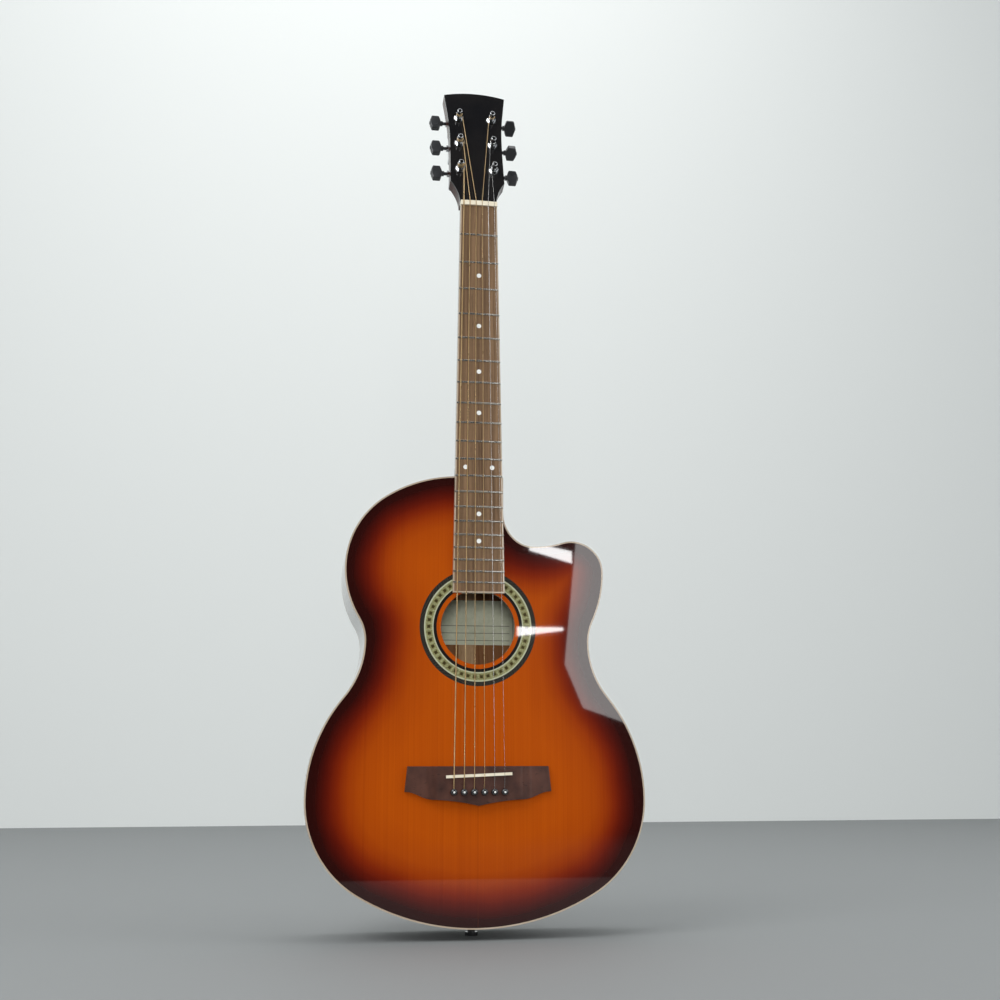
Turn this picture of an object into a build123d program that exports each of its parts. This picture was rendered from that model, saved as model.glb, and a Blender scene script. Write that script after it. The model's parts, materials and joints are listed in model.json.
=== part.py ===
from build123d import *

import math
import os

# Six-string cutaway acoustic guitar, standing on its end pin.  Millimetres.
# X runs across (treble and cutaway side positive), the soundboard faces -Y, Z runs up the neck.
# The origin is under the end pin, on the centre line, halfway between the strings and the back.

# ---------------------------------------------------------------- strings and scale
scale_length = 650.0
string_count = 6
string_radii = (0.67, 0.53, 0.42, 0.32, 0.21, 0.15)   # low E to high e
wound_count = 4
nut_string_pitch = 7.2
saddle_string_pitch = 10.9
action_at_12 = 2.2
string_gap = 0.1                 # between a string and the slot that it lies in
string_bend = 0.25               # bend radius over an edge, added to the string's own radius
ball_radius = 2.0

# ---------------------------------------------------------------- body
body_length = 485.0
lower_bout_half = 183.5
lower_bout_from_tail = 133.0
waist_half = 123.5
waist_from_tail = 300.0
upper_bout_half = 146.4
upper_bout_from_tail = 380.0
horn_half = 141.4
horn_from_tail = 380.0
horn_tip_x = 106.0
horn_tip_from_tail = 414.2
scoop_x = 62.2
scoop_from_tail = 407.2
scoop_corner_from_tail = 444.0
neck_side_half = 28.5            # body edge beside the fretboard
shoulder_half = 27.0
shoulder_slope = 0.05
tail_pull = 67.0                 # how far each bent edge keeps its first direction
bout_pull = 61.0
waist_pull = 13.0
horn_pull = 16.0
horn_tip_pull = 5.0
scoop_pull = 10.0
shoulder_pull = 41.0
upper_bout_pull = 30.0
waist_lower_pull = 34.0
bout_lower_pull = 65.0
body_depth_tail = 103.0
body_depth_neck = 92.0
back_radius = 4570.0
soundboard_thickness = 2.8
back_thickness = 2.8
side_thickness = 2.2
binding_thickness = 1.6
binding_height = 6.0
lining_thickness = 6.0
lining_height = 14.0
soundhole_radius = 41.0
rosette_edges = (45.7, 49.1, 50.2, 58.1, 59.4, 64.3)   # ring edges, from the soundhole outwards
rosette_depth = 0.9
label_width = 119.0
label_height = 52.0
label_thickness = 0.3
label_above_soundhole = 16.3

# ---------------------------------------------------------------- neck and fretboard
nut_width = 43.0
nut_length = 5.5
nut_above_frets = 0.5
board_end_width = 57.4
board_thickness = 6.8
board_camber_radius = 400.0
board_past_last_fret = 11.5
board_over_soundhole = 4.0
board_binding_thickness = 1.5
fret_count = 20
body_joint_fret = 12
fret_crown_width = 2.4
fret_crown_height = 1.1
fret_tang_width = 0.6
fret_tang_depth = 1.8
neck_depth_nut = 14.5
neck_depth_heel = 18.0
heel_depth = 82.0
heel_cap_thickness = 2.5
tenon_width = 20.0
tenon_length = 18.0
tenon_depth = 62.0
heel_sections = (            # depth, half width, reach up the neck
    (0.0, 26.2, 64.0), (16.0, 25.0, 46.0), (32.0, 21.5, 31.0), (56.0, 16.5, 23.0), (heel_depth, 13.0, 19.0))
nut_cheek = 0.8
truss_rod_from_nut = 14.0
truss_socket_radius = 2.3
single_dot_frets = (3, 5, 7, 9, 15, 17)
double_dot_fret = 12
side_dot_frets = (3, 5, 7, 9, 12, 15, 17)
dot_radius = 2.6
dot_depth = 1.4
double_dot_half_pitch = 15.0
side_dot_radius = 1.0

# ---------------------------------------------------------------- headstock and tuners
head_tilt = 13.0
head_length = 166.0
head_arch = 5.0
head_thickness = 14.5
head_plate_thickness = 1.8
head_top_half = 37.2
head_waist_half = 31.4
head_waist_up = 92.0
head_shoulder_half = 32.4
head_shoulder_up = 31.0
post_half_spacing = 20.0
first_post_up = 50.0
post_pitch = 38.6
post_radius = 3.0
post_height = 12.5               # above the head plate
running_clearance = 0.05
bushing_radius = 4.3
bushing_hex_radius = 5.4
bushing_hex_height = 2.6
washer_radius = 6.8
washer_thickness = 0.8
wheel_radius = 4.9
wheel_thickness = 3.6
wheel_teeth = 14
worm_radius = 2.3
worm_offset = 7.5                # worm axis above the post axis
worm_depth = 5.2                 # worm axis behind the head
key_shaft_radius = 2.0
housing_width = 17.0
housing_height = 25.0
housing_depth = 11.5
housing_reach = 11.6             # housing's outer face beyond the post axis
button_from_centre = 46.3
button_length = 13.0
button_height = 19.0
button_thickness = 7.0
key_turns = ((0, 0, 0), (0, 78, 48))   # how each button stands, bass side then treble side
wrap_count = 3
wrap_lift = 1.2
wrap_sink = 0.8
wrap_squeeze = 0.95
post_round = 0.8
tooth_height = 0.7
tooth_width = 0.9
worm_half_length = 6.0
worm_ridges = 6
bushing_sleeve_length = 8.0
housing_wall = 2.4
housing_corner = 3.5
housing_round = 2.5
housing_collar_radius = 4.0
housing_collar_length = 2.0
screw_edge = 2.9
screw_radius = 1.1
screw_head_radius = 2.2
screw_head_height = 1.2
key_collar_radius = 3.2
key_collar_length = 2.5
key_screw_height = 0.7
button_flank = 3.2
button_crest = 4.4
button_corner = 1.6
button_round = 1.5
part_gap = 0.3
head_shoulder_pulls = ((0.0, 12.0), (-5.0, -7.0))     # how each curved edge is pulled at its ends
head_waist_pulls = ((-0.6, 18.0), (0.0, -22.0))
head_flare_pulls = ((0.0, 26.0), (-2.4, -22.0))
head_arch_pulls = ((-12.0, 3.4), (12.0, 0.0))

# ---------------------------------------------------------------- bridge
saddle_setback = 2.5
saddle_slant = 2.5
saddle_length = 71.0
saddle_thickness = 3.0
saddle_fit = 0.05
bridge_height = 8.5
bridge_tip_height = 4.5
bridge_half_top = 76.0
bridge_half_bottom = 78.8
bridge_above_saddle = 9.5
bridge_wing_drop = 16.8
bridge_belly_drop = 31.6
bridge_core_half = 44.0
pin_from_saddle = 17.6
pin_head_radius = 3.9
pin_head_height = 3.4
pin_top_radius = 2.6
pin_tip_radius = 2.25
bridge_plate_thickness = 2.5
bridge_plate_half_width = 62.0
bridge_plate_half_height = 21.0
bridge_plate_below_saddle = 12.0
bridge_shoulder_half = 48.0
bridge_shoulder_drop = 8.3
bridge_scoop_length = 14.0
saddle_slot_depth = 5.0
pin_head_lift = 2.2
pin_tip_out = 0.4
pin_dome_pull = 0.6              # share of the pin head's height and radius
bridge_wing_pulls = ((-14.0, -0.6), (14.0, 0.6))
bridge_belly_pulls = ((-18.0, -0.7), (13.0, 3.2))

# ---------------------------------------------------------------- end pin and inside
end_pin_height = 11.5
end_pin_head_radius = 7.0
end_pin_rim = 4.0
end_pin_neck_radius = 4.6
end_pin_shank = 22.0
end_pin_collar = 2.5
end_pin_waist_radius = 4.2
tail_block_half = 38.0
tail_block_thickness = 22.0
neck_block_half = 38.0
neck_block_length = 56.0
truss_rod_radius = 2.2
truss_rod_depth = 9.0            # rod axis under the fretboard
truss_nut_radius = 3.8
truss_nut_length = 12.0
brace_width = 8.0
brace_height = 13.0
x_brace_half_angle = 52.0
x_brace_from_soundhole = 24.0
back_brace_width = 9.0
back_brace_height = 11.0

transverse_brace_width = 12.0
transverse_brace_height = 18.0
transverse_gap = 8.0
wrench_gap = 1.6
tone_bar_rows = ((22.0, 150.0), (62.0, 170.0))    # below the bridge plate, length
tone_bar_turn = 8.0
tone_bar_width = 6.5
tone_bar_height = 10.0
finger_brace_rows = ((46.0, 100.0), (86.0, 142.0))   # below the brace crossing, out from the centre
finger_brace_turn = 14.0
finger_brace_length = 48.0
finger_brace_width = 6.0
finger_brace_height = 7.0
back_braces_from_tail = (78.0, 170.0, 262.0, 412.0)
centre_strip_width = 18.0
centre_strip_thickness = 2.0

# ---------------------------------------------------------------- places worked out from the sizes
tail_z = end_pin_height
body_top = tail_z + body_length


def fret_place(number):
    """Distance of a fret from the nut, in equal temperament."""
    return scale_length * (1 - 2 ** (-number / 12))


nut_z = body_top + fret_place(body_joint_fret)
saddle_z = nut_z - scale_length - saddle_setback
last_fret_z = nut_z - fret_place(fret_count)
board_end_z = last_fret_z - board_past_last_fret
soundhole_z = board_end_z + board_over_soundhole - soundhole_radius
nut_height = board_thickness + fret_crown_height + nut_above_frets
saddle_height = 2 * (board_thickness + fret_crown_height + action_at_12) - nut_height
strings_top = saddle_height + 2 * string_radii[0]
depth_rise = body_depth_tail - body_depth_neck
back_axis_z = (tail_z + body_top - 2 * back_radius * depth_rise / body_length) / 2
back_sag_tail = back_radius - math.sqrt(back_radius ** 2 - (back_axis_z - tail_z) ** 2)
body_depth = body_depth_tail + back_sag_tail
front_y = -(body_depth - strings_top) / 2
back_centre_y = front_y + body_depth - back_radius
deep = body_depth + 40.0         # longer than any cut through the body
string_numbers = range(string_count)
pin_z = saddle_z - pin_from_saddle
bridge_plate_z = saddle_z - bridge_plate_below_saddle
head_plane = Plane(
    origin=(0, front_y, nut_z + nut_length), x_dir=(1, 0, 0),
    z_dir=(0, -math.cos(math.radians(head_tilt)), math.sin(math.radians(head_tilt))),
)


def at_depth(depth):
    """Sketch plane behind the soundboard's face, X across and Z up, facing the player's front."""
    return Plane.XZ.offset(-(front_y + depth))


def across(offset_number, pitch):
    """X of one string, low E first, when the strings are a pitch apart."""
    return (offset_number - (string_count - 1) / 2) * pitch


def camber_drop(x):
    """How far the cambered fretboard falls away at a distance from the centre line."""
    return board_camber_radius - math.sqrt(board_camber_radius ** 2 - x ** 2)


def board_half(z):
    """Half width of the fretboard at a height."""
    share = (nut_z - z) / (nut_z - board_end_z)
    return nut_width / 2 + share * (board_end_width - nut_width) / 2


def d_section(half, reach):
    """Flat-topped round profile: flat along x, bulging by reach in +y."""
    with BuildSketch() as section:
        with BuildLine():
            Line((half, 0), (-half, 0))
            Bezier((-half, 0), (-half, reach * 4 / 3), (half, reach * 4 / 3), (half, 0))
        make_face()
    return section.sketch


os.makedirs("parts", exist_ok=True)


def save(piece, name):
    """Label one finished piece and write it."""
    piece.part.label = name
    export_step(piece.part, f"parts/{name}.step")


def save_group(pieces, name):
    """Write several solids that touch but stay separate as one node."""
    export_step(Compound(label=name, children=pieces), f"parts/{name}.step")


# ---------------------------------------------------------------- body outline, seen from the front
tail = (0, tail_z)
bass_bout = (-lower_bout_half, tail_z + lower_bout_from_tail)
bass_waist = (-waist_half, tail_z + waist_from_tail)
bass_shoulder = (-upper_bout_half, tail_z + upper_bout_from_tail)
bass_corner = (-shoulder_half, body_top)
treble_bout = (lower_bout_half, bass_bout[1])
treble_waist = (waist_half, bass_waist[1])
horn_side = (horn_half, tail_z + horn_from_tail)
horn_tip = (horn_tip_x, tail_z + horn_tip_from_tail)
scoop = (scoop_x, tail_z + scoop_from_tail)
scoop_corner = (neck_side_half, tail_z + scoop_corner_from_tail)


def curve(start, start_pull, end, end_pull):
    """Smooth edge between two points, each with the pull of its tangent."""
    first = (start[0] + start_pull[0], start[1] + start_pull[1])
    last = (end[0] + end_pull[0], end[1] + end_pull[1])
    return Bezier(start, first, last, end)


def bent_edge(start, start_way, end, end_way, pull):
    """Two tangent arcs from start to end, leaving and arriving along the given directions."""
    first = Vector(*start)
    last = Vector(*end)
    leave = Vector(*start_way).normalized()
    arrive = Vector(*end_way).normalized()
    span = last - first
    end_pull = (span.dot(span) / 2 - pull * span.dot(leave)) / (
        span.dot(arrive) - pull * (leave.dot(arrive) - 1))
    first_handle = first + leave * pull
    run = last - arrive * end_pull - first_handle
    middle = first_handle + run * (pull / (pull + end_pull))
    TangentArc(first, middle, tangent=leave)
    TangentArc(middle, last, tangent=run)


with BuildSketch() as body_shape:
    with BuildLine():
        bent_edge(tail, (1, 0), treble_bout, (0, 1), tail_pull)
        bent_edge(treble_bout, (0, 1), treble_waist, (0, 1), bout_pull)
        bent_edge(treble_waist, (0, 1), horn_side, (0, 1), waist_pull)
        bent_edge(horn_side, (0, 1), horn_tip, (-1, 0), horn_pull)
        bent_edge(horn_tip, (-1, 0), scoop, (-1, 0), horn_tip_pull)
        bent_edge(scoop, (-1, 0), scoop_corner, (0, 1), scoop_pull)
        Line(scoop_corner, (neck_side_half, body_top))
        Line((neck_side_half, body_top), bass_corner)
        bent_edge(bass_corner, (-1, -shoulder_slope), bass_shoulder, (0, -1), shoulder_pull)
        bent_edge(bass_shoulder, (0, -1), bass_waist, (0, -1), upper_bout_pull)
        bent_edge(bass_waist, (0, -1), bass_bout, (0, -1), waist_lower_pull)
        bent_edge(bass_bout, (0, -1), tail, (1, 0), bout_lower_pull)
    make_face()

with BuildSketch() as plate_shape:
    add(body_shape.sketch)
    offset(amount=-binding_thickness, mode=Mode.REPLACE)

with BuildSketch() as inner_shape:
    add(body_shape.sketch)
    offset(amount=-side_thickness, mode=Mode.REPLACE)

with BuildSketch() as lining_inner_shape:
    add(body_shape.sketch)
    offset(amount=-(side_thickness + lining_thickness), mode=Mode.REPLACE)

with BuildSketch() as brace_shape:
    add(body_shape.sketch)
    offset(amount=-(side_thickness + lining_thickness + part_gap), mode=Mode.REPLACE)


def keep_inside_back(inset):
    """Trim the open part to the dome that lies an inset inside the back's outer face."""
    with Locations((0, back_centre_y, back_axis_z)):
        Sphere(back_radius - inset, mode=Mode.INTERSECT)


def cut_inside_back(inset):
    """Hollow the open part out to the dome that lies an inset inside the back's outer face."""
    with Locations((0, back_centre_y, back_axis_z)):
        Sphere(back_radius - inset, mode=Mode.SUBTRACT)


# ---------------------------------------------------------------- bindings, soundboard, back and sides
with BuildPart() as top_binding:
    with BuildSketch(at_depth(0)):
        add(body_shape.sketch)
        add(plate_shape.sketch, mode=Mode.SUBTRACT)
    extrude(amount=-binding_height)

with BuildPart() as back_binding:
    with BuildSketch(at_depth(binding_height)):
        add(body_shape.sketch)
        add(plate_shape.sketch, mode=Mode.SUBTRACT)
    extrude(amount=-deep)
    keep_inside_back(0)
    cut_inside_back(binding_height)

save(top_binding, "top_binding")
save(back_binding, "back_binding")

rosette_bands = []
for inner_edge, outer_edge in zip(rosette_edges[:-1], rosette_edges[1:]):
    with BuildPart() as rosette_band:
        with BuildSketch(at_depth(0)):
            with Locations((0, soundhole_z)):
                Circle(outer_edge)
                Circle(inner_edge, mode=Mode.SUBTRACT)
        extrude(amount=-rosette_depth)
    rosette_bands.append(rosette_band.part)
save_group(rosette_bands, "rosette")

string_slot_z = pin_z + pin_top_radius   # strings stand in the pins' grooves


with BuildPart() as pin_holes:
    with BuildSketch(at_depth(-bridge_height)):
        for number in string_numbers:
            pin_x = across(number, saddle_string_pitch)
            with Locations((pin_x, pin_z)):
                Circle(pin_top_radius + running_clearance)
            with Locations((pin_x, string_slot_z)):
                Circle(string_radii[number] + string_gap)
    extrude(amount=-bridge_height - deep)


with BuildPart() as soundboard:
    with BuildSketch(at_depth(0)):
        add(plate_shape.sketch)
        with Locations((0, soundhole_z)):
            Circle(soundhole_radius, mode=Mode.SUBTRACT)
    extrude(amount=-soundboard_thickness)
    with BuildSketch(at_depth(0)):
        with Locations((0, soundhole_z)):
            Circle(rosette_edges[-1])
            Circle(rosette_edges[0], mode=Mode.SUBTRACT)
    extrude(amount=-rosette_depth, mode=Mode.SUBTRACT)
    add(pin_holes.part, mode=Mode.SUBTRACT)
save(soundboard, "soundboard")

with BuildPart() as back_plate:
    with BuildSketch(at_depth(binding_height)):
        add(plate_shape.sketch)
    extrude(amount=-deep)
    keep_inside_back(0)
    cut_inside_back(back_thickness)
save(back_plate, "back_plate")

end_pin_depth = body_depth_tail / 2


def side_half(direction):
    """One bent side: the wall ring on one side of the centre line, under both bindings."""
    with BuildPart() as side:
        with BuildSketch(at_depth(soundboard_thickness)):
            add(body_shape.sketch)
            add(inner_shape.sketch, mode=Mode.SUBTRACT)
            with Locations((direction * deep * 2, body_top - body_length / 2)):
                Rectangle(deep * 4, body_length * 2, mode=Mode.INTERSECT)
        extrude(amount=-deep)
        keep_inside_back(back_thickness)
        add(top_binding.part, mode=Mode.SUBTRACT)
        add(back_binding.part, mode=Mode.SUBTRACT)
        with BuildSketch(at_depth(0)):
            with Locations((0, body_top)):
                Rectangle(tenon_width, 2 * tenon_length)
        extrude(amount=-tenon_depth, mode=Mode.SUBTRACT)
        with BuildSketch(Plane.XY.offset(tail_z)):
            with Locations((0, front_y + end_pin_depth)):
                Circle(end_pin_neck_radius)
        extrude(amount=side_thickness * 2, mode=Mode.SUBTRACT)
    return side


save(side_half(-1), "bass_side")
save(side_half(1), "treble_side")

# ---------------------------------------------------------------- blocks and linings
with BuildPart() as neck_block:
    with BuildSketch(at_depth(soundboard_thickness)):
        with Locations((0, body_top - neck_block_length / 2)):
            Rectangle(2 * neck_block_half, neck_block_length)
        add(inner_shape.sketch, mode=Mode.INTERSECT)
    extrude(amount=-deep)
    keep_inside_back(back_thickness)
    with BuildSketch(at_depth(0)):
        with Locations((0, body_top)):
            Rectangle(tenon_width, 2 * tenon_length)
    extrude(amount=-tenon_depth, mode=Mode.SUBTRACT)
    with BuildSketch(Plane.XY.offset(body_top - neck_block_length)):
        with Locations((0, front_y + truss_rod_depth)):
            Circle(truss_rod_radius + string_gap)
    extrude(amount=neck_block_length, mode=Mode.SUBTRACT)
save(neck_block, "neck_block")

with BuildPart() as tail_block:
    with BuildSketch(at_depth(soundboard_thickness)):
        with Locations((0, tail_z + tail_block_thickness / 2)):
            Rectangle(2 * tail_block_half, tail_block_thickness)
        add(inner_shape.sketch, mode=Mode.INTERSECT)
    extrude(amount=-deep)
    keep_inside_back(back_thickness)
    with BuildSketch(Plane.XY.offset(tail_z)):
        with Locations((0, front_y + end_pin_depth)):
            Circle(end_pin_neck_radius)
    extrude(amount=tail_block_thickness, mode=Mode.SUBTRACT)
save(tail_block, "tail_block")


with BuildSketch() as lining_shape:
    add(inner_shape.sketch)
    add(lining_inner_shape.sketch, mode=Mode.SUBTRACT)
    with Locations((0, body_top - neck_block_length / 2)):
        Rectangle(2 * neck_block_half, neck_block_length, mode=Mode.SUBTRACT)
    with Locations((0, tail_z + tail_block_thickness / 2)):
        Rectangle(2 * tail_block_half, tail_block_thickness, mode=Mode.SUBTRACT)

with BuildPart() as top_lining:
    with BuildSketch(at_depth(soundboard_thickness)):
        add(lining_shape.sketch)
    extrude(amount=-lining_height)
save(top_lining, "top_lining")

with BuildPart() as back_lining:
    with BuildSketch(at_depth(soundboard_thickness + lining_height)):
        add(lining_shape.sketch)
    extrude(amount=-deep)
    keep_inside_back(back_thickness)
    cut_inside_back(back_thickness + lining_height)
save(back_lining, "back_lining")


# ---------------------------------------------------------------- braces
with BuildPart() as inside_linings:
    with BuildSketch(at_depth(0)):
        add(brace_shape.sketch)
    extrude(amount=-deep)


def top_brace(x, z, turn, length, width, height):
    """Brace under the soundboard, centred at x and z, turned anticlockwise from level."""
    run_x = math.cos(math.radians(turn))
    run_z = math.sin(math.radians(turn))
    start = (x - run_x * length / 2, front_y + soundboard_thickness, z - run_z * length / 2)
    end_plane = Plane(origin=start, x_dir=(run_z, 0, -run_x), z_dir=(run_x, 0, run_z))
    with BuildPart() as brace:
        with BuildSketch(end_plane):
            add(d_section(width / 2, height))
        extrude(amount=length)
    return brace.part


x_cross_z = soundhole_z - soundhole_radius - x_brace_from_soundhole

with BuildPart() as x_braces:
    for turn in (90 - x_brace_half_angle, 90 + x_brace_half_angle):
        add(top_brace(0, x_cross_z, turn, 3 * body_length, brace_width, brace_height))
    add(inside_linings.part, mode=Mode.INTERSECT)
save(x_braces, "x_braces")

transverse_z = soundhole_z + soundhole_radius + transverse_brace_width + transverse_gap

with BuildPart() as transverse_brace:
    add(top_brace(0, transverse_z, 0, 4 * upper_bout_half,
                  transverse_brace_width, transverse_brace_height))
    add(inside_linings.part, mode=Mode.INTERSECT)
    with BuildSketch(Plane.XY.offset(transverse_z - transverse_brace_width)):
        with Locations((0, front_y + truss_rod_depth)):
            Circle(truss_nut_radius + wrench_gap)
    extrude(amount=2 * transverse_brace_width, mode=Mode.SUBTRACT)
save(transverse_brace, "transverse_brace")

with BuildPart() as tone_bars:
    for below_plate, length in tone_bar_rows:
        bar_z = bridge_plate_z - bridge_plate_half_height - below_plate
        add(top_brace(0, bar_z, tone_bar_turn, length, tone_bar_width, tone_bar_height))
save(tone_bars, "tone_bars")

with BuildPart() as finger_braces:
    for side_sign in (-1, 1):
        for below_cross, out in finger_brace_rows:
            bar_z = x_cross_z - below_cross
            add(top_brace(side_sign * out, bar_z, -side_sign * finger_brace_turn,
                          finger_brace_length, finger_brace_width, finger_brace_height))
    add(inside_linings.part, mode=Mode.INTERSECT)
save(finger_braces, "finger_braces")

with BuildPart() as bridge_plate:
    with BuildSketch(at_depth(soundboard_thickness)):
        with Locations((0, bridge_plate_z)):
            Rectangle(2 * bridge_plate_half_width, 2 * bridge_plate_half_height)
    extrude(amount=-bridge_plate_thickness)
    add(pin_holes.part, mode=Mode.SUBTRACT)
save(bridge_plate, "bridge_plate")


def back_depth_at(z):
    """Depth of the back's outer face on the centre line."""
    return body_depth - back_radius + math.sqrt(back_radius ** 2 - (z - back_axis_z) ** 2)


back_brace_places = [tail_z + from_tail for from_tail in back_braces_from_tail]

with BuildPart() as back_braces:
    for brace_z in back_brace_places:
        with BuildSketch(at_depth(back_depth_at(brace_z) - back_thickness - back_brace_height)):
            with Locations((0, brace_z)):
                Rectangle(4 * lower_bout_half, back_brace_width)
        extrude(amount=-2 * back_brace_height)
    keep_inside_back(back_thickness)
    add(inside_linings.part, mode=Mode.INTERSECT)
save(back_braces, "back_braces")

with BuildPart() as back_centre_strip:
    with BuildSketch(at_depth(binding_height)):
        for lower_z, upper_z in zip(back_brace_places[:-1], back_brace_places[1:]):
            strip_length = upper_z - lower_z - back_brace_width - 2 * part_gap
            with Locations((0, (lower_z + upper_z) / 2)):
                Rectangle(centre_strip_width, strip_length)
        with Locations((0, soundhole_z + label_above_soundhole)):
            Rectangle(label_width + 2 * part_gap, label_height + 2 * part_gap, mode=Mode.SUBTRACT)
    extrude(amount=-deep)
    keep_inside_back(back_thickness)
    cut_inside_back(back_thickness + centre_strip_thickness)
save(back_centre_strip, "back_centre_strip")

with BuildPart() as label:
    with BuildSketch(at_depth(binding_height)):
        with Locations((0, soundhole_z + label_above_soundhole)):
            Rectangle(label_width, label_height)
    extrude(amount=-deep)
    keep_inside_back(back_thickness)
    cut_inside_back(back_thickness + label_thickness)
save(label, "label")

# ---------------------------------------------------------------- bridge, saddle and pins
bridge_wing_z = saddle_z - bridge_wing_drop
bridge_shoulder_z = bridge_wing_z - bridge_shoulder_drop
bridge_belly_z = saddle_z - bridge_belly_drop
bridge_top_z = saddle_z + bridge_above_saddle

with BuildSketch() as bridge_half_shape:
    with BuildLine():
        Line((0, bridge_top_z), (bridge_half_top, bridge_top_z))
        Line((bridge_half_top, bridge_top_z), (bridge_half_bottom, bridge_wing_z))
        curve((bridge_half_bottom, bridge_wing_z), bridge_wing_pulls[0],
              (bridge_shoulder_half, bridge_shoulder_z), bridge_wing_pulls[1])
        curve((bridge_shoulder_half, bridge_shoulder_z), bridge_belly_pulls[0],
              (0, bridge_belly_z), bridge_belly_pulls[1])
        Line((0, bridge_belly_z), (0, bridge_top_z))
    make_face()

with BuildPart() as bridge:
    with BuildSketch(at_depth(0)):
        add(bridge_half_shape.sketch)
        mirror(about=Plane.YZ)
    extrude(amount=bridge_height)
    with BuildSketch(Plane.XY.offset(bridge_belly_z)):
        with BuildLine():
            wing_top = (bridge_core_half, front_y - bridge_height)
            wing_low = (bridge_core_half + bridge_scoop_length, front_y - bridge_tip_height)
            curve(wing_top, (bridge_scoop_length / 2, 0), wing_low, (-bridge_scoop_length / 2, 0))
            Line(wing_low, (lower_bout_half, wing_low[1]))
            Line((lower_bout_half, wing_low[1]), (lower_bout_half, wing_top[1]))
            Line((lower_bout_half, wing_top[1]), wing_top)
        make_face()
        mirror(about=Plane.YZ)
    extrude(amount=bridge_above_saddle + bridge_belly_drop, mode=Mode.SUBTRACT)
    with BuildSketch(at_depth(-bridge_height)):
        with Locations((0, saddle_z)):
            Rectangle(saddle_length + 2 * saddle_fit, saddle_thickness + 2 * saddle_fit,
                      rotation=saddle_slant)
    extrude(amount=-saddle_slot_depth, mode=Mode.SUBTRACT)
    add(pin_holes.part, mode=Mode.SUBTRACT)
save(bridge, "bridge")

with BuildPart() as saddle:
    with BuildSketch(at_depth(saddle_slot_depth - bridge_height)):
        with Locations((0, saddle_z)):
            Rectangle(saddle_length, saddle_thickness, rotation=saddle_slant)
    extrude(amount=saddle_slot_depth + bridge_height)
    with Locations((0, front_y - saddle_height + board_camber_radius, saddle_z)):
        Cylinder(board_camber_radius, saddle_length, mode=Mode.INTERSECT)
save(saddle, "saddle")

pin_travel_depth = soundboard_thickness + bridge_plate_thickness

pin_head_depth = -bridge_height - pin_head_lift
pin_crown_depth = pin_head_depth - pin_head_height

for number in string_numbers:
    pin_x = across(number, saddle_string_pitch)
    pin_plane = Plane(origin=(pin_x, front_y, pin_z), x_dir=(1, 0, 0), z_dir=(0, 0, 1))
    with BuildPart() as bridge_pin:
        with BuildSketch(pin_plane):
            with BuildLine():
                Polyline((0, pin_crown_depth), (0, pin_travel_depth + pin_tip_out),
                         (pin_tip_radius, pin_travel_depth + pin_tip_out),
                         (pin_top_radius, -bridge_height), (pin_top_radius, pin_head_depth),
                         (pin_head_radius, pin_head_depth))
                curve((pin_head_radius, pin_head_depth), (0, -pin_head_height * pin_dome_pull),
                      (0, pin_crown_depth), (pin_head_radius * pin_dome_pull, 0))
            make_face()
        revolve(axis=Axis((pin_x, front_y, pin_z), (0, -1, 0)))
        with BuildSketch(at_depth(pin_head_depth)):
            with Locations((pin_x, string_slot_z)):
                Circle(string_radii[number] + 2 * string_gap)
        extrude(amount=-deep / 2, mode=Mode.SUBTRACT)
    save(bridge_pin, f"bridge_pin_{number + 1}")

# ---------------------------------------------------------------- fretboard
camber_axis_y = front_y - board_thickness + board_camber_radius
board_length = nut_z - board_end_z
inner_end_z = board_end_z + board_binding_thickness


def board_outline(inset, end_z):
    """Tapered outline of the fretboard, brought in from its edges by an inset."""
    with BuildSketch() as outline:
        with BuildLine():
            Polyline((-board_half(nut_z) + inset, nut_z), (board_half(nut_z) - inset, nut_z),
                     (board_half(end_z) - inset, end_z), (-board_half(end_z) + inset, end_z), close=True)
        make_face()
    return outline.sketch


def keep_under_camber():
    """Round the open part's face to the fretboard's camber."""
    with Locations((0, camber_axis_y, (nut_z + board_end_z) / 2)):
        Cylinder(board_camber_radius, board_length * 2, mode=Mode.INTERSECT)


dot_places = [(0, fret) for fret in single_dot_frets]
dot_places += [(side_sign * double_dot_half_pitch, double_dot_fret) for side_sign in (-1, 1)]
dot_points = [(x, nut_z - (fret_place(fret) + fret_place(fret - 1)) / 2) for x, fret in dot_places]
camber_axis = Axis((0, camber_axis_y, 0), (0, 0, 1))


def camber_angle(half):
    """Angle of the camber's arc from the centre line to a half width, in degrees."""
    return math.degrees(math.asin(half / board_camber_radius))


with BuildPart() as fret_tangs:
    for fret in range(1, fret_count + 1):
        fret_z = nut_z - fret_place(fret)
        with BuildSketch(Plane.YZ):
            with Locations((front_y - board_thickness + fret_tang_depth / 2, fret_z)):
                Rectangle(fret_tang_depth, fret_tang_width)
        revolve(axis=camber_axis, revolution_arc=camber_angle(board_half(fret_z) - board_binding_thickness))
    mirror(about=Plane.YZ)

with BuildPart() as position_dots:
    with BuildSketch(at_depth(-board_thickness)):
        with Locations(*dot_points):
            Circle(dot_radius)
    extrude(amount=-dot_depth)
    keep_under_camber()
save(position_dots, "position_dots")

with BuildPart() as fretboard:
    with BuildSketch(at_depth(0)):
        add(board_outline(board_binding_thickness, inner_end_z))
    extrude(amount=board_thickness)
    keep_under_camber()
    add(fret_tangs.part, mode=Mode.SUBTRACT)
    add(position_dots.part, mode=Mode.SUBTRACT)
save(fretboard, "fretboard")

side_dot_points = [nut_z - (fret_place(fret) + fret_place(fret - 1)) / 2 for fret in side_dot_frets]

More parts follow.
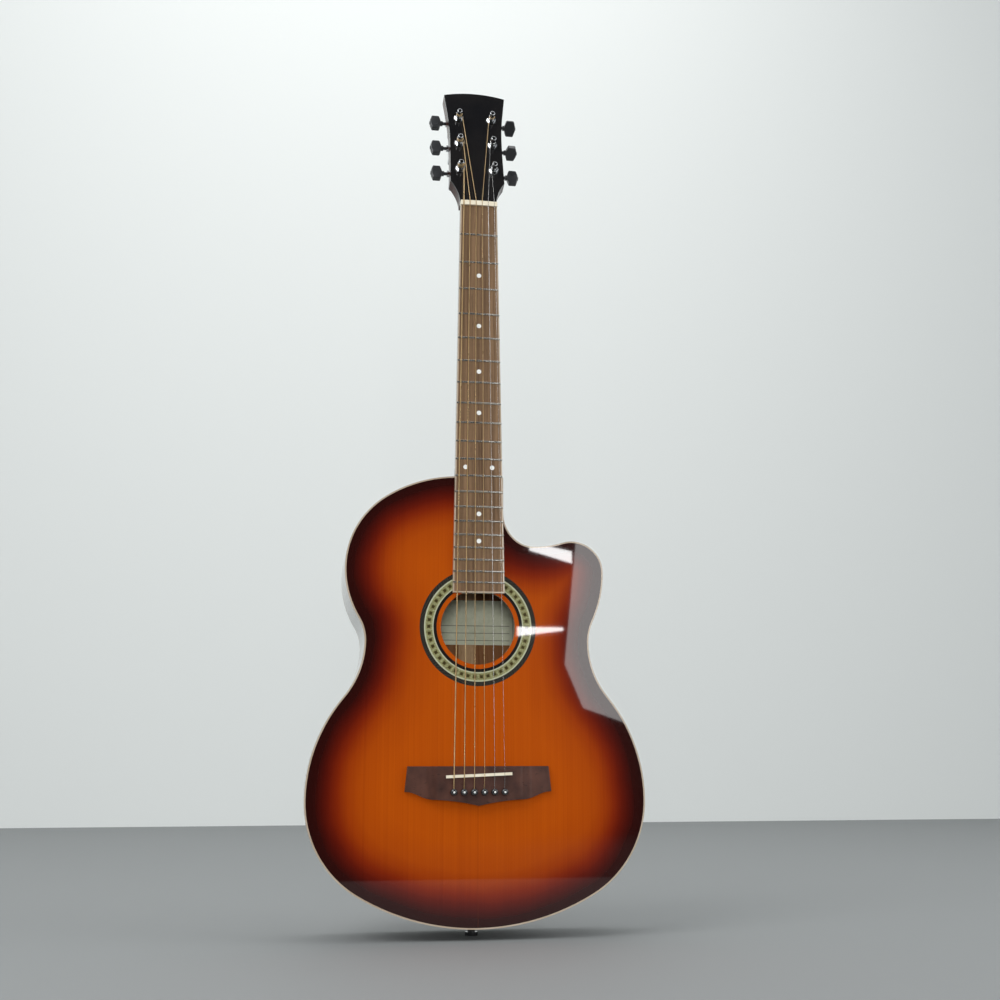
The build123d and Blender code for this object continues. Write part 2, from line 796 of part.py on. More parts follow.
with BuildPart() as side_dots:
    for dot_z in side_dot_points:
        with BuildSketch(Plane.YZ.offset(-board_half(dot_z) - part_gap)):
            with Locations((front_y - board_thickness / 2, dot_z)):
                Circle(side_dot_radius)
        extrude(amount=board_binding_thickness / 2 + part_gap)
    with BuildSketch(at_depth(0)):
        add(board_outline(0, board_end_z))
    extrude(amount=board_thickness, mode=Mode.INTERSECT)
save(side_dots, "side_dots")

with BuildPart() as fretboard_binding:
    with BuildSketch(at_depth(0)):
        add(board_outline(0, board_end_z))
        add(board_outline(board_binding_thickness, inner_end_z), mode=Mode.SUBTRACT)
    extrude(amount=board_thickness)
    keep_under_camber()
    add(side_dots.part, mode=Mode.SUBTRACT)
save(fretboard_binding, "fretboard_binding")

fret_solids = []
for fret in range(1, fret_count + 1):
    fret_z = nut_z - fret_place(fret)
    crown_y = front_y - board_thickness
    crown_base = fret_crown_width / 2
    with BuildPart() as fret_wire:
        with BuildSketch(Plane.YZ):
            with BuildLine():
                Line((crown_y, fret_z - crown_base), (crown_y, fret_z + crown_base))
                ThreePointArc((crown_y, fret_z + crown_base), (crown_y - fret_crown_height, fret_z),
                              (crown_y, fret_z - crown_base))
            make_face()
        revolve(axis=camber_axis, revolution_arc=camber_angle(board_half(fret_z)))
        with BuildSketch(Plane.YZ):
            with Locations((crown_y + fret_tang_depth / 2, fret_z)):
                Rectangle(fret_tang_depth, fret_tang_width)
        revolve(axis=camber_axis, revolution_arc=camber_angle(board_half(fret_z) - board_binding_thickness))
        mirror(about=Plane.YZ)
    fret_solids.append(fret_wire.part)
save_group(fret_solids, "frets")

# ---------------------------------------------------------------- nut
nut_top = board_thickness + fret_crown_height + nut_above_frets + nut_cheek


def string_rest(number, x):
    """Height of a string's lowest line over the soundboard's plane at the nut."""
    return board_thickness + fret_crown_height + nut_above_frets - camber_drop(x) + string_gap


with BuildPart() as nut:
    with BuildSketch(at_depth(0)):
        with Locations((0, nut_z + nut_length / 2)):
            Rectangle(nut_width, nut_length)
    extrude(amount=nut_top)
    with Locations((0, front_y - nut_top + board_camber_radius, nut_z)):
        Cylinder(board_camber_radius, nut_length * 4, mode=Mode.INTERSECT)
    for number in string_numbers:
        slot_x = across(number, nut_string_pitch)
        slot_radius = string_radii[number] + string_gap
        slot_y = front_y - string_rest(number, slot_x) - string_radii[number]
        with BuildSketch(Plane.XY.offset(nut_z)):
            with Locations((slot_x, slot_y)):
                Circle(slot_radius)
            with Locations((slot_x, slot_y - nut_top / 2)):
                Rectangle(2 * slot_radius, nut_top)
        extrude(amount=nut_length, mode=Mode.SUBTRACT)
save(nut, "nut")

# ---------------------------------------------------------------- neck, heel and headstock
with BuildSketch() as head_half_shape:
    with BuildLine():
        Line((0, 0), (nut_width / 2, 0))
        curve((nut_width / 2, 0), head_shoulder_pulls[0],
              (head_shoulder_half, head_shoulder_up), head_shoulder_pulls[1])
        curve((head_shoulder_half, head_shoulder_up), head_waist_pulls[0],
              (head_waist_half, head_waist_up), head_waist_pulls[1])
        curve((head_waist_half, head_waist_up), head_flare_pulls[0],
              (head_top_half, head_length - head_arch), head_flare_pulls[1])
        curve((head_top_half, head_length - head_arch), head_arch_pulls[0],
              (0, head_length), head_arch_pulls[1])
        Line((0, head_length), (0, 0))
    make_face()

with BuildSketch() as head_shape:
    add(head_half_shape.sketch)
    mirror(about=Plane.YZ)

post_points = [(side_sign * post_half_spacing, first_post_up + row * post_pitch)
               for side_sign in (-1, 1) for row in range(string_count // 2)]

with BuildPart() as neck:
    with BuildSketch(Plane.XY.offset(body_top)):
        with Locations((0, front_y)):
            add(d_section(board_half(body_top), neck_depth_heel))
    with BuildSketch(Plane.XY.offset(nut_z + nut_length)):
        with Locations((0, front_y)):
            add(d_section(nut_width / 2, neck_depth_nut))
    loft()
    for depth, half, reach in heel_sections:
        with BuildSketch(at_depth(depth)):
            with Locations((0, body_top)):
                add(d_section(half, reach))
    loft()
    with BuildSketch(head_plane):
        add(head_shape.sketch)
    extrude(amount=-head_thickness)
    with BuildSketch(at_depth(binding_height)):
        with Locations((0, body_top - tenon_length / 2)):
            Rectangle(tenon_width, tenon_length)
    extrude(amount=binding_height - tenon_depth)
    with BuildSketch(head_plane):
        with Locations(*post_points):
            Circle(bushing_radius)
    extrude(amount=-head_thickness, mode=Mode.SUBTRACT)
    rod_slot_top = nut_z - truss_rod_from_nut
    rod_slot_length = rod_slot_top - body_top + tenon_length
    with BuildSketch(at_depth(0)):
        with Locations((0, rod_slot_top - rod_slot_length / 2)):
            Rectangle(2 * truss_rod_radius + 2 * string_gap, rod_slot_length)
    extrude(amount=-truss_rod_depth - truss_rod_radius - string_gap, mode=Mode.SUBTRACT)
save(neck, "neck")

heel_end_depth, heel_end_half, heel_end_reach = heel_sections[-1]

with BuildPart() as heel_cap:
    with BuildSketch(at_depth(heel_end_depth)):
        with Locations((0, body_top)):
            add(d_section(heel_end_half, heel_end_reach))
    extrude(amount=-heel_cap_thickness)
save(heel_cap, "heel_cap")

with BuildPart() as head_plate:
    with BuildSketch(head_plane):
        add(head_shape.sketch)
        with Locations(*post_points):
            Circle(bushing_radius, mode=Mode.SUBTRACT)
    extrude(amount=head_plate_thickness)
save(head_plate, "head_plate")

truss_rod_end = body_top - neck_block_length - truss_nut_length

with BuildPart() as truss_rod:
    with BuildSketch(Plane.XY.offset(truss_rod_end)):
        with Locations((0, front_y + truss_rod_depth)):
            Circle(truss_rod_radius)
    extrude(amount=rod_slot_top - part_gap - truss_rod_end)
save(truss_rod, "truss_rod")

truss_nut_z = truss_rod_end - truss_nut_length / 2

with BuildPart() as truss_rod_nut:
    with BuildSketch(Plane.XY.offset(truss_nut_z)):
        with Locations((0, front_y + truss_rod_depth)):
            Circle(truss_nut_radius)
    extrude(amount=truss_nut_length)
    with BuildSketch(Plane.XY.offset(truss_rod_end - part_gap)):
        with Locations((0, front_y + truss_rod_depth)):
            Circle(truss_rod_radius + running_clearance)
    extrude(amount=truss_nut_length, mode=Mode.SUBTRACT)
    with BuildSketch(Plane.XY.offset(truss_nut_z)):
        with Locations((0, front_y + truss_rod_depth)):
            RegularPolygon(truss_socket_radius, 6)
    extrude(amount=truss_nut_length / 3, mode=Mode.SUBTRACT)
save(truss_rod_nut, "truss_rod_nut")

# ---------------------------------------------------------------- tuners
plate_top = head_plane.offset(head_plate_thickness)
head_back = head_plane.offset(-head_thickness)

with BuildPart() as tuner_washers:
    with BuildSketch(plate_top):
        with Locations(*post_points):
            Circle(washer_radius)
            Circle(bushing_radius, mode=Mode.SUBTRACT)
    extrude(amount=washer_thickness)
save(tuner_washers, "tuner_washers")

with BuildPart() as tuner_bushings:
    with BuildSketch(plate_top.offset(washer_thickness)):
        with Locations(*post_points):
            RegularPolygon(bushing_hex_radius, 6)
    extrude(amount=bushing_hex_height)
    fillet(tuner_bushings.faces().filter_by(head_plane).group_by(Axis.Y)[0].edges(), 0.4)
    with BuildSketch(plate_top.offset(washer_thickness)):
        with Locations(*post_points):
            Circle(bushing_radius)
    extrude(amount=-bushing_sleeve_length)
    with BuildSketch(plate_top.offset(washer_thickness + bushing_hex_height)):
        with Locations(*post_points):
            Circle(post_radius + running_clearance)
    extrude(amount=-bushing_hex_height - bushing_sleeve_length, mode=Mode.SUBTRACT)
save(tuner_bushings, "tuner_bushings")

housing_top_up = worm_offset + worm_radius + housing_wall
housing_centre_up = housing_top_up - housing_height / 2
screw_up = housing_top_up - housing_height + screw_edge

with BuildPart() as tuner_housings:
    for post_x, post_up in post_points:
        side_sign = math.copysign(1, post_x)
        block_x = post_x + side_sign * (housing_reach - housing_width / 2)
        with BuildSketch(head_back):
            with Locations((block_x, post_up + housing_centre_up)):
                RectangleRounded(housing_width, housing_height, housing_corner)
        extrude(amount=-housing_depth)
    fillet(tuner_housings.faces().filter_by(head_plane).group_by(Axis.Y)[-1].edges(), housing_round)
    for post_x, post_up in post_points:
        side_sign = math.copysign(1, post_x)
        worm_centre = head_back.from_local_coords((post_x, post_up + worm_offset, -worm_depth))
        worm_plane = Plane(origin=worm_centre, x_dir=head_plane.y_dir, z_dir=(side_sign, 0, 0))
        with BuildSketch(worm_plane.offset(housing_reach)):
            Circle(housing_collar_radius)
        extrude(amount=housing_collar_length)
        with BuildSketch(head_back):
            with Locations((post_x, post_up)):
                Circle(wheel_radius + part_gap)
        extrude(amount=-worm_depth - wheel_thickness / 2 - part_gap, mode=Mode.SUBTRACT)
        with BuildSketch(worm_plane.offset(-worm_half_length - part_gap)):
            Circle(worm_radius + part_gap)
        extrude(amount=2 * (worm_half_length + part_gap), mode=Mode.SUBTRACT)
        with BuildSketch(worm_plane):
            Circle(key_shaft_radius + running_clearance)
        extrude(amount=housing_reach + housing_collar_length, mode=Mode.SUBTRACT)
        with BuildSketch(head_back):
            with Locations((post_x, post_up + screw_up)):
                Circle(screw_radius)
        extrude(amount=-housing_depth, mode=Mode.SUBTRACT)
save(tuner_housings, "tuner_housings")

with BuildPart() as tuner_screws:
    for post_x, post_up in post_points:
        with BuildSketch(head_back.offset(-housing_depth)):
            with Locations((post_x, post_up + screw_up)):
                Circle(screw_head_radius)
        extrude(amount=-screw_head_height)
        with BuildSketch(head_back.offset(-housing_depth)):
            with Locations((post_x, post_up + screw_up)):
                Circle(screw_radius)
        extrude(amount=housing_depth)
save(tuner_screws, "tuner_screws")

wrap_base = washer_thickness + bushing_hex_height + wrap_lift


def post_of(number):
    """Side and place of the post that a string runs to: the lowest posts take the outer strings."""
    half = string_count // 2
    side_sign = -1 if number < half else 1
    row = number if number < half else string_count - 1 - number
    return side_sign, row, (side_sign * post_half_spacing, first_post_up + row * post_pitch)


for number in string_numbers:
    side_sign, row, (post_x, post_up) = post_of(number)
    string_radius = string_radii[number]
    post_foot = head_back.from_local_coords((post_x, post_up, -worm_depth))
    post_axis = Axis(post_foot, head_plane.z_dir)
    post_length = worm_depth + head_thickness + head_plate_thickness + post_height
    post_plane = Plane(origin=post_foot, x_dir=(1, 0, 0), z_dir=head_plane.y_dir * -1)
    with BuildPart() as tuner_post:
        with BuildSketch(post_plane):
            with Locations((post_radius / 2, post_length / 2)):
                Rectangle(post_radius, post_length)
            for wrap in range(wrap_count):
                wrap_up = wrap_base + string_radius * (1 + 2 * wrap) * wrap_squeeze
                wrap_out = post_radius + wrap_sink * string_radius
                with Locations((wrap_out, post_length - post_height + wrap_up)):
                    Circle(string_radius)
        revolve(axis=post_axis)
        fillet(tuner_post.faces().sort_by(post_axis)[-1].edges(), post_round)
        with BuildSketch(head_back.offset(-worm_depth - wheel_thickness / 2)):
            with Locations((post_x, post_up)):
                Circle(wheel_radius - tooth_height)
                with PolarLocations(wheel_radius - tooth_height, wheel_teeth):
                    Rectangle(2 * tooth_height, tooth_width)
        extrude(amount=wheel_thickness)
    save(tuner_post, f"tuner_post_{number + 1}")

for number in string_numbers:
    side_sign, row, (post_x, post_up) = post_of(number)
    worm_centre = head_back.from_local_coords((post_x, post_up + worm_offset, -worm_depth))
    worm_plane = Plane(origin=worm_centre, x_dir=head_plane.y_dir, z_dir=(side_sign, 0, 0))
    button_offset = button_from_centre - post_half_spacing
    turn = key_turns[0 if side_sign < 0 else 1][row]
    face_dir = head_plane.z_dir.rotate(Axis.X, side_sign * turn)
    button_centre = worm_centre + Vector(side_sign * button_offset, 0, 0)
    button_plane = Plane(origin=button_centre, x_dir=(side_sign, 0, 0), z_dir=face_dir)
    with BuildPart() as tuner_key:
        with BuildSketch(worm_plane.offset(-worm_half_length)):
            Circle(key_shaft_radius)
        extrude(amount=worm_half_length + button_offset)
        for ridge in range(worm_ridges):
            ridge_at = (ridge + 0.25) * 2 * worm_half_length / worm_ridges - worm_half_length
            with BuildSketch(worm_plane.offset(ridge_at)):
                Circle(worm_radius)
            extrude(amount=worm_half_length / worm_ridges)
        with BuildSketch(worm_plane.offset(button_offset - button_length / 2 - key_collar_length)):
            Circle(key_collar_radius)
        extrude(amount=key_collar_length)
        with BuildSketch(button_plane.offset(-button_thickness / 2)):
            with BuildLine():
                half_length = button_length / 2
                half_height = button_height / 2
                corners = [(-half_length, -button_flank), (-button_crest, -half_height),
                           (button_crest, -half_height), (half_length, -button_flank),
                           (half_length, button_flank), (button_crest, half_height),
                           (-button_crest, half_height), (-half_length, button_flank)]
                Polyline(*corners, close=True)
            make_face()
            fillet(vertices(), button_corner)
        extrude(amount=button_thickness)
        button_faces = tuner_key.faces().filter_by(button_plane)
        outer_faces = button_faces.sort_by(Axis(button_centre, face_dir))
        fillet(outer_faces[0].edges() + outer_faces[-1].edges(), button_round)
        with BuildSketch(worm_plane.offset(button_offset + half_length)):
            Circle(screw_head_radius)
        extrude(amount=key_screw_height)
    save(tuner_key, f"tuner_key_{number + 1}")

# ---------------------------------------------------------------- end pin
with BuildPart() as end_pin:
    with BuildSketch(Plane.XY):
        with Locations((0, front_y + end_pin_depth)):
            Circle(end_pin_head_radius)
    extrude(amount=end_pin_rim)
    with BuildSketch(Plane.XY.offset(end_pin_rim)):
        with Locations((0, front_y + end_pin_depth)):
            Circle(end_pin_waist_radius)
    extrude(amount=tail_z - end_pin_rim - end_pin_collar)
    with BuildSketch(Plane.XY.offset(tail_z - end_pin_collar)):
        with Locations((0, front_y + end_pin_depth)):
            Circle(end_pin_head_radius)
    extrude(amount=end_pin_collar)
    with BuildSketch(Plane.XY.offset(tail_z)):
        with Locations((0, front_y + end_pin_depth)):
            Circle(end_pin_neck_radius - running_clearance)
    extrude(amount=end_pin_shank)
save(end_pin, "end_pin")

# ---------------------------------------------------------------- strings
string_solids = []
ball_solids = []
for number in string_numbers:
    radius = string_radii[number]
    side_sign, row, (post_x, post_up) = post_of(number)
    low_x = across(number, saddle_string_pitch)
    high_x = across(number, nut_string_pitch)
    ball_depth = soundboard_thickness + bridge_plate_thickness + pin_tip_out + string_gap + ball_radius
    ball_point = Vector(low_x, front_y + ball_depth, string_slot_z)
    mouth_point = Vector(low_x, front_y - bridge_height - string_gap - radius, string_slot_z)
    saddle_rest = saddle_height - camber_drop(low_x) + string_gap + radius
    slant_z = saddle_z + low_x * math.tan(math.radians(saddle_slant))
    saddle_point = Vector(low_x, front_y - saddle_rest, slant_z - saddle_thickness / 2)
    nut_y = front_y - string_rest(number, high_x) - radius
    nut_point = Vector(high_x, nut_y, nut_z + nut_length)
    reach = post_radius + radius
    touch_point = plate_top.from_local_coords((post_x - side_sign * reach, post_up, wrap_base + radius))
    stop_short = math.sqrt((reach + 2 * radius + part_gap) ** 2 - reach ** 2)
    last_run = (touch_point - nut_point).normalized()
    post_point = touch_point - last_run * stop_short
    route = [ball_point, mouth_point, saddle_point, nut_point, post_point]
    with BuildPart() as string:
        with BuildLine() as string_path:
            FilletPolyline(*route, radius=[radius + string_bend] * (len(route) - 2))
        with BuildSketch(Plane(origin=ball_point, z_dir=(0, -1, 0))):
            Circle(radius)
        sweep()
    string_solids.append(string.part)
    with BuildPart() as ball:
        with BuildSketch(Plane(origin=ball_point, x_dir=(0, 1, 0), z_dir=(1, 0, 0)).offset(-ball_radius)):
            Circle(ball_radius)
            Circle(ball_radius / 3, mode=Mode.SUBTRACT)
        extrude(amount=2 * ball_radius)
        add(string.part, mode=Mode.SUBTRACT)
    ball_solids.append(ball.part)
save_group(string_solids[:wound_count], "wound_strings")
save_group(string_solids[wound_count:], "plain_strings")
save_group(ball_solids, "ball_ends")
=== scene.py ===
"""Looks of a six-string cutaway acoustic guitar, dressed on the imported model's frame."""

import json
import logging
import math
from dataclasses import dataclass, field
from enum import Enum

import bmesh
import bpy
from bmesh.types import BMesh
from mathutils import Matrix, Vector
from mathutils.bvhtree import BVHTree


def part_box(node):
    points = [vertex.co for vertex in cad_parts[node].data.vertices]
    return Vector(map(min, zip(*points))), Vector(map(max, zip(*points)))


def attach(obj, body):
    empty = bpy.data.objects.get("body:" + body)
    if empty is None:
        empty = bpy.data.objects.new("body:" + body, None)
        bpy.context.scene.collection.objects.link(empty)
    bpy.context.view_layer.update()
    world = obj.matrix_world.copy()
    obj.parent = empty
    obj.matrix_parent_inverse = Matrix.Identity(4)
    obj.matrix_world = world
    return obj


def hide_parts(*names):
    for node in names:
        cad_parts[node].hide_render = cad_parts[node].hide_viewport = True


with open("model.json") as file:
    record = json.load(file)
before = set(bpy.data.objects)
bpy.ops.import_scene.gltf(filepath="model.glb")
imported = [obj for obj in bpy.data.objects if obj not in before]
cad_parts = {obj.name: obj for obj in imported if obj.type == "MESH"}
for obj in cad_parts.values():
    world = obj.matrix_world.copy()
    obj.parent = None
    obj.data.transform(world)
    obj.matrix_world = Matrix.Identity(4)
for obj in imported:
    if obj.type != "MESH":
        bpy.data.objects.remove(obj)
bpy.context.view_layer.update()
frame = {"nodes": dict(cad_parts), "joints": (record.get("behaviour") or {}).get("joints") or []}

log = logging.getLogger("guitar")
Colour = tuple[float, float, float]

HOLE_CENTRE = (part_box("rosette")[0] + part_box("rosette")[1]) / 2
STRING_NUMBERS = range(1, 7)          # low E to high e
WOUND_STRINGS = 4                     # how many of them are wound, from the low E up


def rgba(colour: Colour) -> tuple[float, float, float, float]:
    """Colour with a full alpha."""
    return (*colour, 1.0)


# ------------------------------------------------------------------ node writing


class NodeWriter:
    """Adds, sets and links the nodes of one material or one shader group."""

    def __init__(self, tree: bpy.types.NodeTree) -> None:
        """Keep the tree that the nodes go into."""
        self.tree = tree

    def add(self, kind: str, inputs: dict | None = None, **settings) -> bpy.types.Node:
        """Add one node.

        Args:
            kind: node type without its ShaderNode prefix, or a full type name.
            inputs: values or sockets for its inputs, by name or by index.
            settings: properties of the node itself.

        Returns:
            The new node.
        """
        name = kind if kind.startswith("Node") else f"ShaderNode{kind}"
        node = self.tree.nodes.new(name)
        for key, value in settings.items():
            setattr(node, key, value)
        for key, value in (inputs or {}).items():
            self.feed(node.inputs[key], value)
        return node

    def feed(self, socket: bpy.types.NodeSocket, value) -> None:
        """Link a socket or store a plain value in an input."""
        if isinstance(value, bpy.types.NodeSocket):
            self.tree.links.new(value, socket)
        else:
            socket.default_value = value

    def math(self, operation: str, *values) -> bpy.types.NodeSocket:
        """Work out one number from one to three others."""
        node = self.add("Math", operation=operation)
        for index, value in enumerate(values):
            self.feed(node.inputs[index], value)
        return node.outputs[0]

    def stretch(self, vector: bpy.types.NodeSocket, scale: Colour) -> bpy.types.NodeSocket:
        """Scale a place so that a pattern runs long one way."""
        return self.add("Mapping", {"Vector": vector, "Scale": scale}).outputs[0]

    def noise(self, vector: bpy.types.NodeSocket, scale: float, detail: float = 3.0,
              roughness: float = 0.55) -> bpy.types.NodeSocket:
        """Cloudy value between nought and one."""
        node = self.add("TexNoise", {"Vector": vector, "Scale": scale, "Detail": detail,
                                     "Roughness": roughness})
        return node.outputs[0]

    def ramp(self, value: bpy.types.NodeSocket,
             stops: list[tuple[float, Colour]]) -> bpy.types.NodeSocket:
        """Turn a value into a colour.

        Args:
            value: where to read the ramp.
            stops: places from 0 to 1 and their colours.

        Returns:
            The colour socket.
        """
        node = self.add("ValToRGB", {"Fac": value})
        band = node.color_ramp
        band.interpolation = "LINEAR"
        while len(band.elements) < len(stops):
            band.elements.new(0.5)
        for element, (place, colour) in zip(band.elements, stops):
            element.position = place
            element.color = rgba(colour)
        return node.outputs[0]

    def remap(self, value, low: float, high: float, to_low: float = 0.0,
              to_high: float = 1.0) -> bpy.types.NodeSocket:
        """Stretch a value from one range to another and clamp it."""
        node = self.add("MapRange", {"Value": value, "From Min": low, "From Max": high,
                                     "To Min": to_low, "To Max": to_high})
        return node.outputs[0]

    def blend(self, share, first, second, kind: str = "MIX") -> bpy.types.NodeSocket:
        """Mix two colours by a share."""
        node = self.add("Mix", data_type="RGBA", blend_type=kind)
        self.feed(node.inputs[0], share)
        for index, value in ((6, first), (7, second)):
            self.feed(node.inputs[index], rgba(value) if isinstance(value, tuple) else value)
        return node.outputs[2]


# ------------------------------------------------------------------ shared shader groups


class Effects:
    """Shader groups that several finishes share, each built once."""

    def __init__(self) -> None:
        """Start with no group built."""
        self.built: dict[str, bpy.types.ShaderNodeTree] = {}

    def _begin(self, name: str, numbers: dict[str, float],
               outputs: tuple[str, ...]) -> tuple[NodeWriter, bpy.types.Node, bpy.types.Node]:
        """Make an empty group with a Vector input, number inputs and value outputs."""
        tree = bpy.data.node_groups.new(name, "ShaderNodeTree")
        tree.interface.new_socket("Vector", in_out="INPUT", socket_type="NodeSocketVector")
        for label, start in numbers.items():
            socket = tree.interface.new_socket(label, in_out="INPUT", socket_type="NodeSocketFloat")
            socket.default_value = start
        for label in outputs:
            tree.interface.new_socket(label, in_out="OUTPUT", socket_type="NodeSocketFloat")
        writer = NodeWriter(tree)
        self.built[name] = tree
        return writer, writer.add("NodeGroupInput"), writer.add("NodeGroupOutput")

    def grain(self) -> bpy.types.ShaderNodeTree:
        """Wood grain that runs along Z: broad streaks, fine lines and open pores."""
        if "wood_grain" in self.built:
            return self.built["wood_grain"]
        writer, given, out = self._begin(
            "wood_grain", {"Across": 300.0, "Along": 6.0}, ("Streak", "Line", "Pore"))
        across, along = given.outputs["Across"], given.outputs["Along"]
        scale = writer.add("CombineXYZ", {0: across, 1: across, 2: along}).outputs[0]
        place = writer.add("VectorMath", {0: given.outputs["Vector"], 1: scale}, operation="MULTIPLY")
        wander = writer.noise(given.outputs["Vector"], 9.0, 2.0)
        bent = writer.add("VectorMath", {0: place.outputs[0], 1: (1.6, 1.6, 0.0)}, operation="ADD")
        shift = writer.add("CombineXYZ", {0: writer.math("MULTIPLY", wander, 2.2)}).outputs[0]
        bent = writer.add("VectorMath", {0: bent.outputs[0], 1: shift}, operation="ADD").outputs[0]
        writer.feed(out.inputs["Streak"], writer.noise(bent, 0.55, 3.0, 0.6))
        fine = writer.stretch(bent, (2.6, 2.6, 0.8))
        writer.feed(out.inputs["Line"], writer.noise(fine, 1.0, 2.0, 0.5))
        short = writer.stretch(bent, (3.4, 3.4, 9.0))
        writer.feed(out.inputs["Pore"], writer.remap(writer.noise(short, 1.0, 1.0), 0.66, 0.72))
        return self.built["wood_grain"]

    def wear(self) -> bpy.types.ShaderNodeTree:
        """Mask along edges, broken up by noise, where a finish is rubbed."""
        if "edge_wear" in self.built:
            return self.built["edge_wear"]
        writer, given, out = self._begin("edge_wear", {"Width": 0.0006, "Amount": 1.0}, ("Mask",))
        soft = writer.add("Bevel", {"Radius": given.outputs["Width"]}, samples=4)
        true = writer.add("NewGeometry")
        turn = writer.add("VectorMath", {0: soft.outputs[0], 1: true.outputs["Normal"]},
                          operation="DOT_PRODUCT")
        edge = writer.remap(turn.outputs["Value"], 0.995, 0.9)
        patches = writer.remap(writer.noise(given.outputs["Vector"], 240.0, 4.0), 0.42, 0.62)
        mask = writer.math("MULTIPLY", writer.math("MULTIPLY", edge, patches), given.outputs["Amount"])
        writer.feed(out.inputs["Mask"], mask)
        return self.built["edge_wear"]

    def handling(self) -> bpy.types.ShaderNodeTree:
        """Faint smears and specks that dull a gloss, and a little orange peel."""
        if "handling" in self.built:
            return self.built["handling"]
        writer, given, out = self._begin("handling", {"Base": 0.2, "Smear": 0.1},
                                         ("Roughness", "Peel"))
        cloud = writer.remap(writer.noise(given.outputs["Vector"], 22.0, 4.0, 0.6), 0.4, 0.75)
        speck = writer.remap(writer.noise(given.outputs["Vector"], 900.0, 2.0), 0.68, 0.75)
        dull = writer.math("MULTIPLY", writer.math("ADD", cloud, speck), given.outputs["Smear"])
        writer.feed(out.inputs["Roughness"], writer.math("ADD", given.outputs["Base"], dull))
        writer.feed(out.inputs["Peel"], writer.noise(given.outputs["Vector"], 110.0, 2.0))
        return self.built["handling"]


EFFECTS = Effects()


class Finish:
    """Base of every finish: one Principled surface with shared helpers."""

    name = "finish"

    def __init__(self) -> None:
        """Start with no material made."""
        self.material: bpy.types.Material | None = None

    def make(self) -> bpy.types.Material:
        """Build the material the first time, and hand the same one out after."""
        if self.material is None:
            self.material = bpy.data.materials.new(self.name)
            self.material.use_nodes = True
            tree = self.material.node_tree
            tree.nodes.clear()
            self.write = NodeWriter(tree)
            self.surface = self.write.add("BsdfPrincipled")
            output = self.write.add("OutputMaterial")
            tree.links.new(self.surface.outputs[0], output.inputs[0])
            self.place = self.write.add("TexCoord").outputs["Object"]
            self.paint()
        return self.material

    def paint(self) -> None:
        """Write the nodes of this finish."""
        raise NotImplementedError

    def group(self, tree: bpy.types.ShaderNodeTree, vector=None, **inputs) -> bpy.types.Node:
        """Place a shared group in this material.

        Args:
            tree: the shared group.
            vector: where its pattern is read, the object's own place if left out.
            inputs: values for its named number inputs.

        Returns:
            The group node.
        """
        node = self.write.add("Group", node_tree=tree)
        self.write.feed(node.inputs["Vector"], self.place if vector is None else vector)
        for key, value in inputs.items():
            node.inputs[key].default_value = value
        return node

    def set(self, **values) -> None:
        """Set or feed inputs of the surface, with underscores for spaces."""
        for key, value in values.items():
            self.write.feed(self.surface.inputs[key.replace("_", " ")],
                            rgba(value) if isinstance(value, tuple) else value)

    def bump(self, height, strength: float, distance: float = 0.0002) -> None:
        """Raise the surface by a height value."""
        node = self.write.add("Bump", {"Height": height, "Strength": strength, "Distance": distance})
        self.set(Normal=node.outputs[0])

    def axes(self) -> tuple:
        """X, Y and Z of the place on the object."""
        node = self.write.add("SeparateXYZ", {0: self.place})
        return node.outputs[0], node.outputs[1], node.outputs[2]


# ------------------------------------------------------------------ finishes


@dataclass(frozen=True)
class Sunburst:
    """Colours of the burst, from the edge inwards, at distances in metres."""

    reach: float = 0.12
    stops: tuple[tuple[float, Colour], ...] = (
        (0.000, (0.019, 0.0032, 0.0026)), (0.009, (0.026, 0.0032, 0.0024)),
        (0.016, (0.058, 0.0042, 0.0022)), (0.024, (0.108, 0.0075, 0.0020)),
        (0.033, (0.195, 0.0170, 0.0018)), (0.043, (0.290, 0.0370, 0.0017)),
        (0.056, (0.370, 0.0570, 0.0017)), (0.085, (0.425, 0.0710, 0.0017)),
        (0.120, (0.430, 0.0730, 0.0018)))


class SunburstTop(Finish):
    """Clear gloss over a spruce top sprayed dark at the edge and amber in the middle."""

    name = "sunburst_top"

    def __init__(self, burst: Sunburst) -> None:
        """Keep the burst's colours."""
        super().__init__()
        self.burst = burst

    def paint(self) -> None:
        """Write the burst, the straight spruce lines, the centre joint and the gloss."""
        write = self.write
        edge = write.add("Attribute", attribute_name="edge_distance").outputs["Fac"]
        cloud = write.noise(self.place, 14.0, 2.0)
        wobble = write.math("MULTIPLY", write.math("SUBTRACT", cloud, 0.5), 0.010)
        share = write.remap(write.math("ADD", edge, wobble), 0.0, self.burst.reach)
        stops = [(place / self.burst.reach, colour) for place, colour in self.burst.stops]
        colour = write.ramp(share, stops)
        grain = self.group(EFFECTS.grain(), Across=640.0, Along=2.5)
        lines = write.ramp(grain.outputs["Line"],
                           [(0.30, (0.80, 0.74, 0.70)), (0.62, (1.0, 1.0, 1.0))])
        colour = write.blend(0.55, colour, lines, "MULTIPLY")
        streak = write.ramp(grain.outputs["Streak"], [(0.35, (0.93, 0.88, 0.85)), (0.6, (1.0, 1.0, 1.0))])
        colour = write.blend(0.6, colour, streak, "MULTIPLY")
        x, _, _ = self.axes()
        seam = write.remap(write.math("ABSOLUTE", x), 0.0001, 0.0006)
        colour = write.blend(seam, write.blend(0.22, colour, (0.1, 0.02, 0.0)), colour)
        dull = self.group(EFFECTS.handling(), Base=0.32, Smear=0.05)
        self.set(Base_Color=colour, Roughness=dull.outputs["Roughness"], Specular_IOR_Level=0.03,
                 Coat_Weight=1.0, Coat_Roughness=0.022, Coat_IOR=1.5)
        self.bump(grain.outputs["Line"], 0.06, 0.0001)


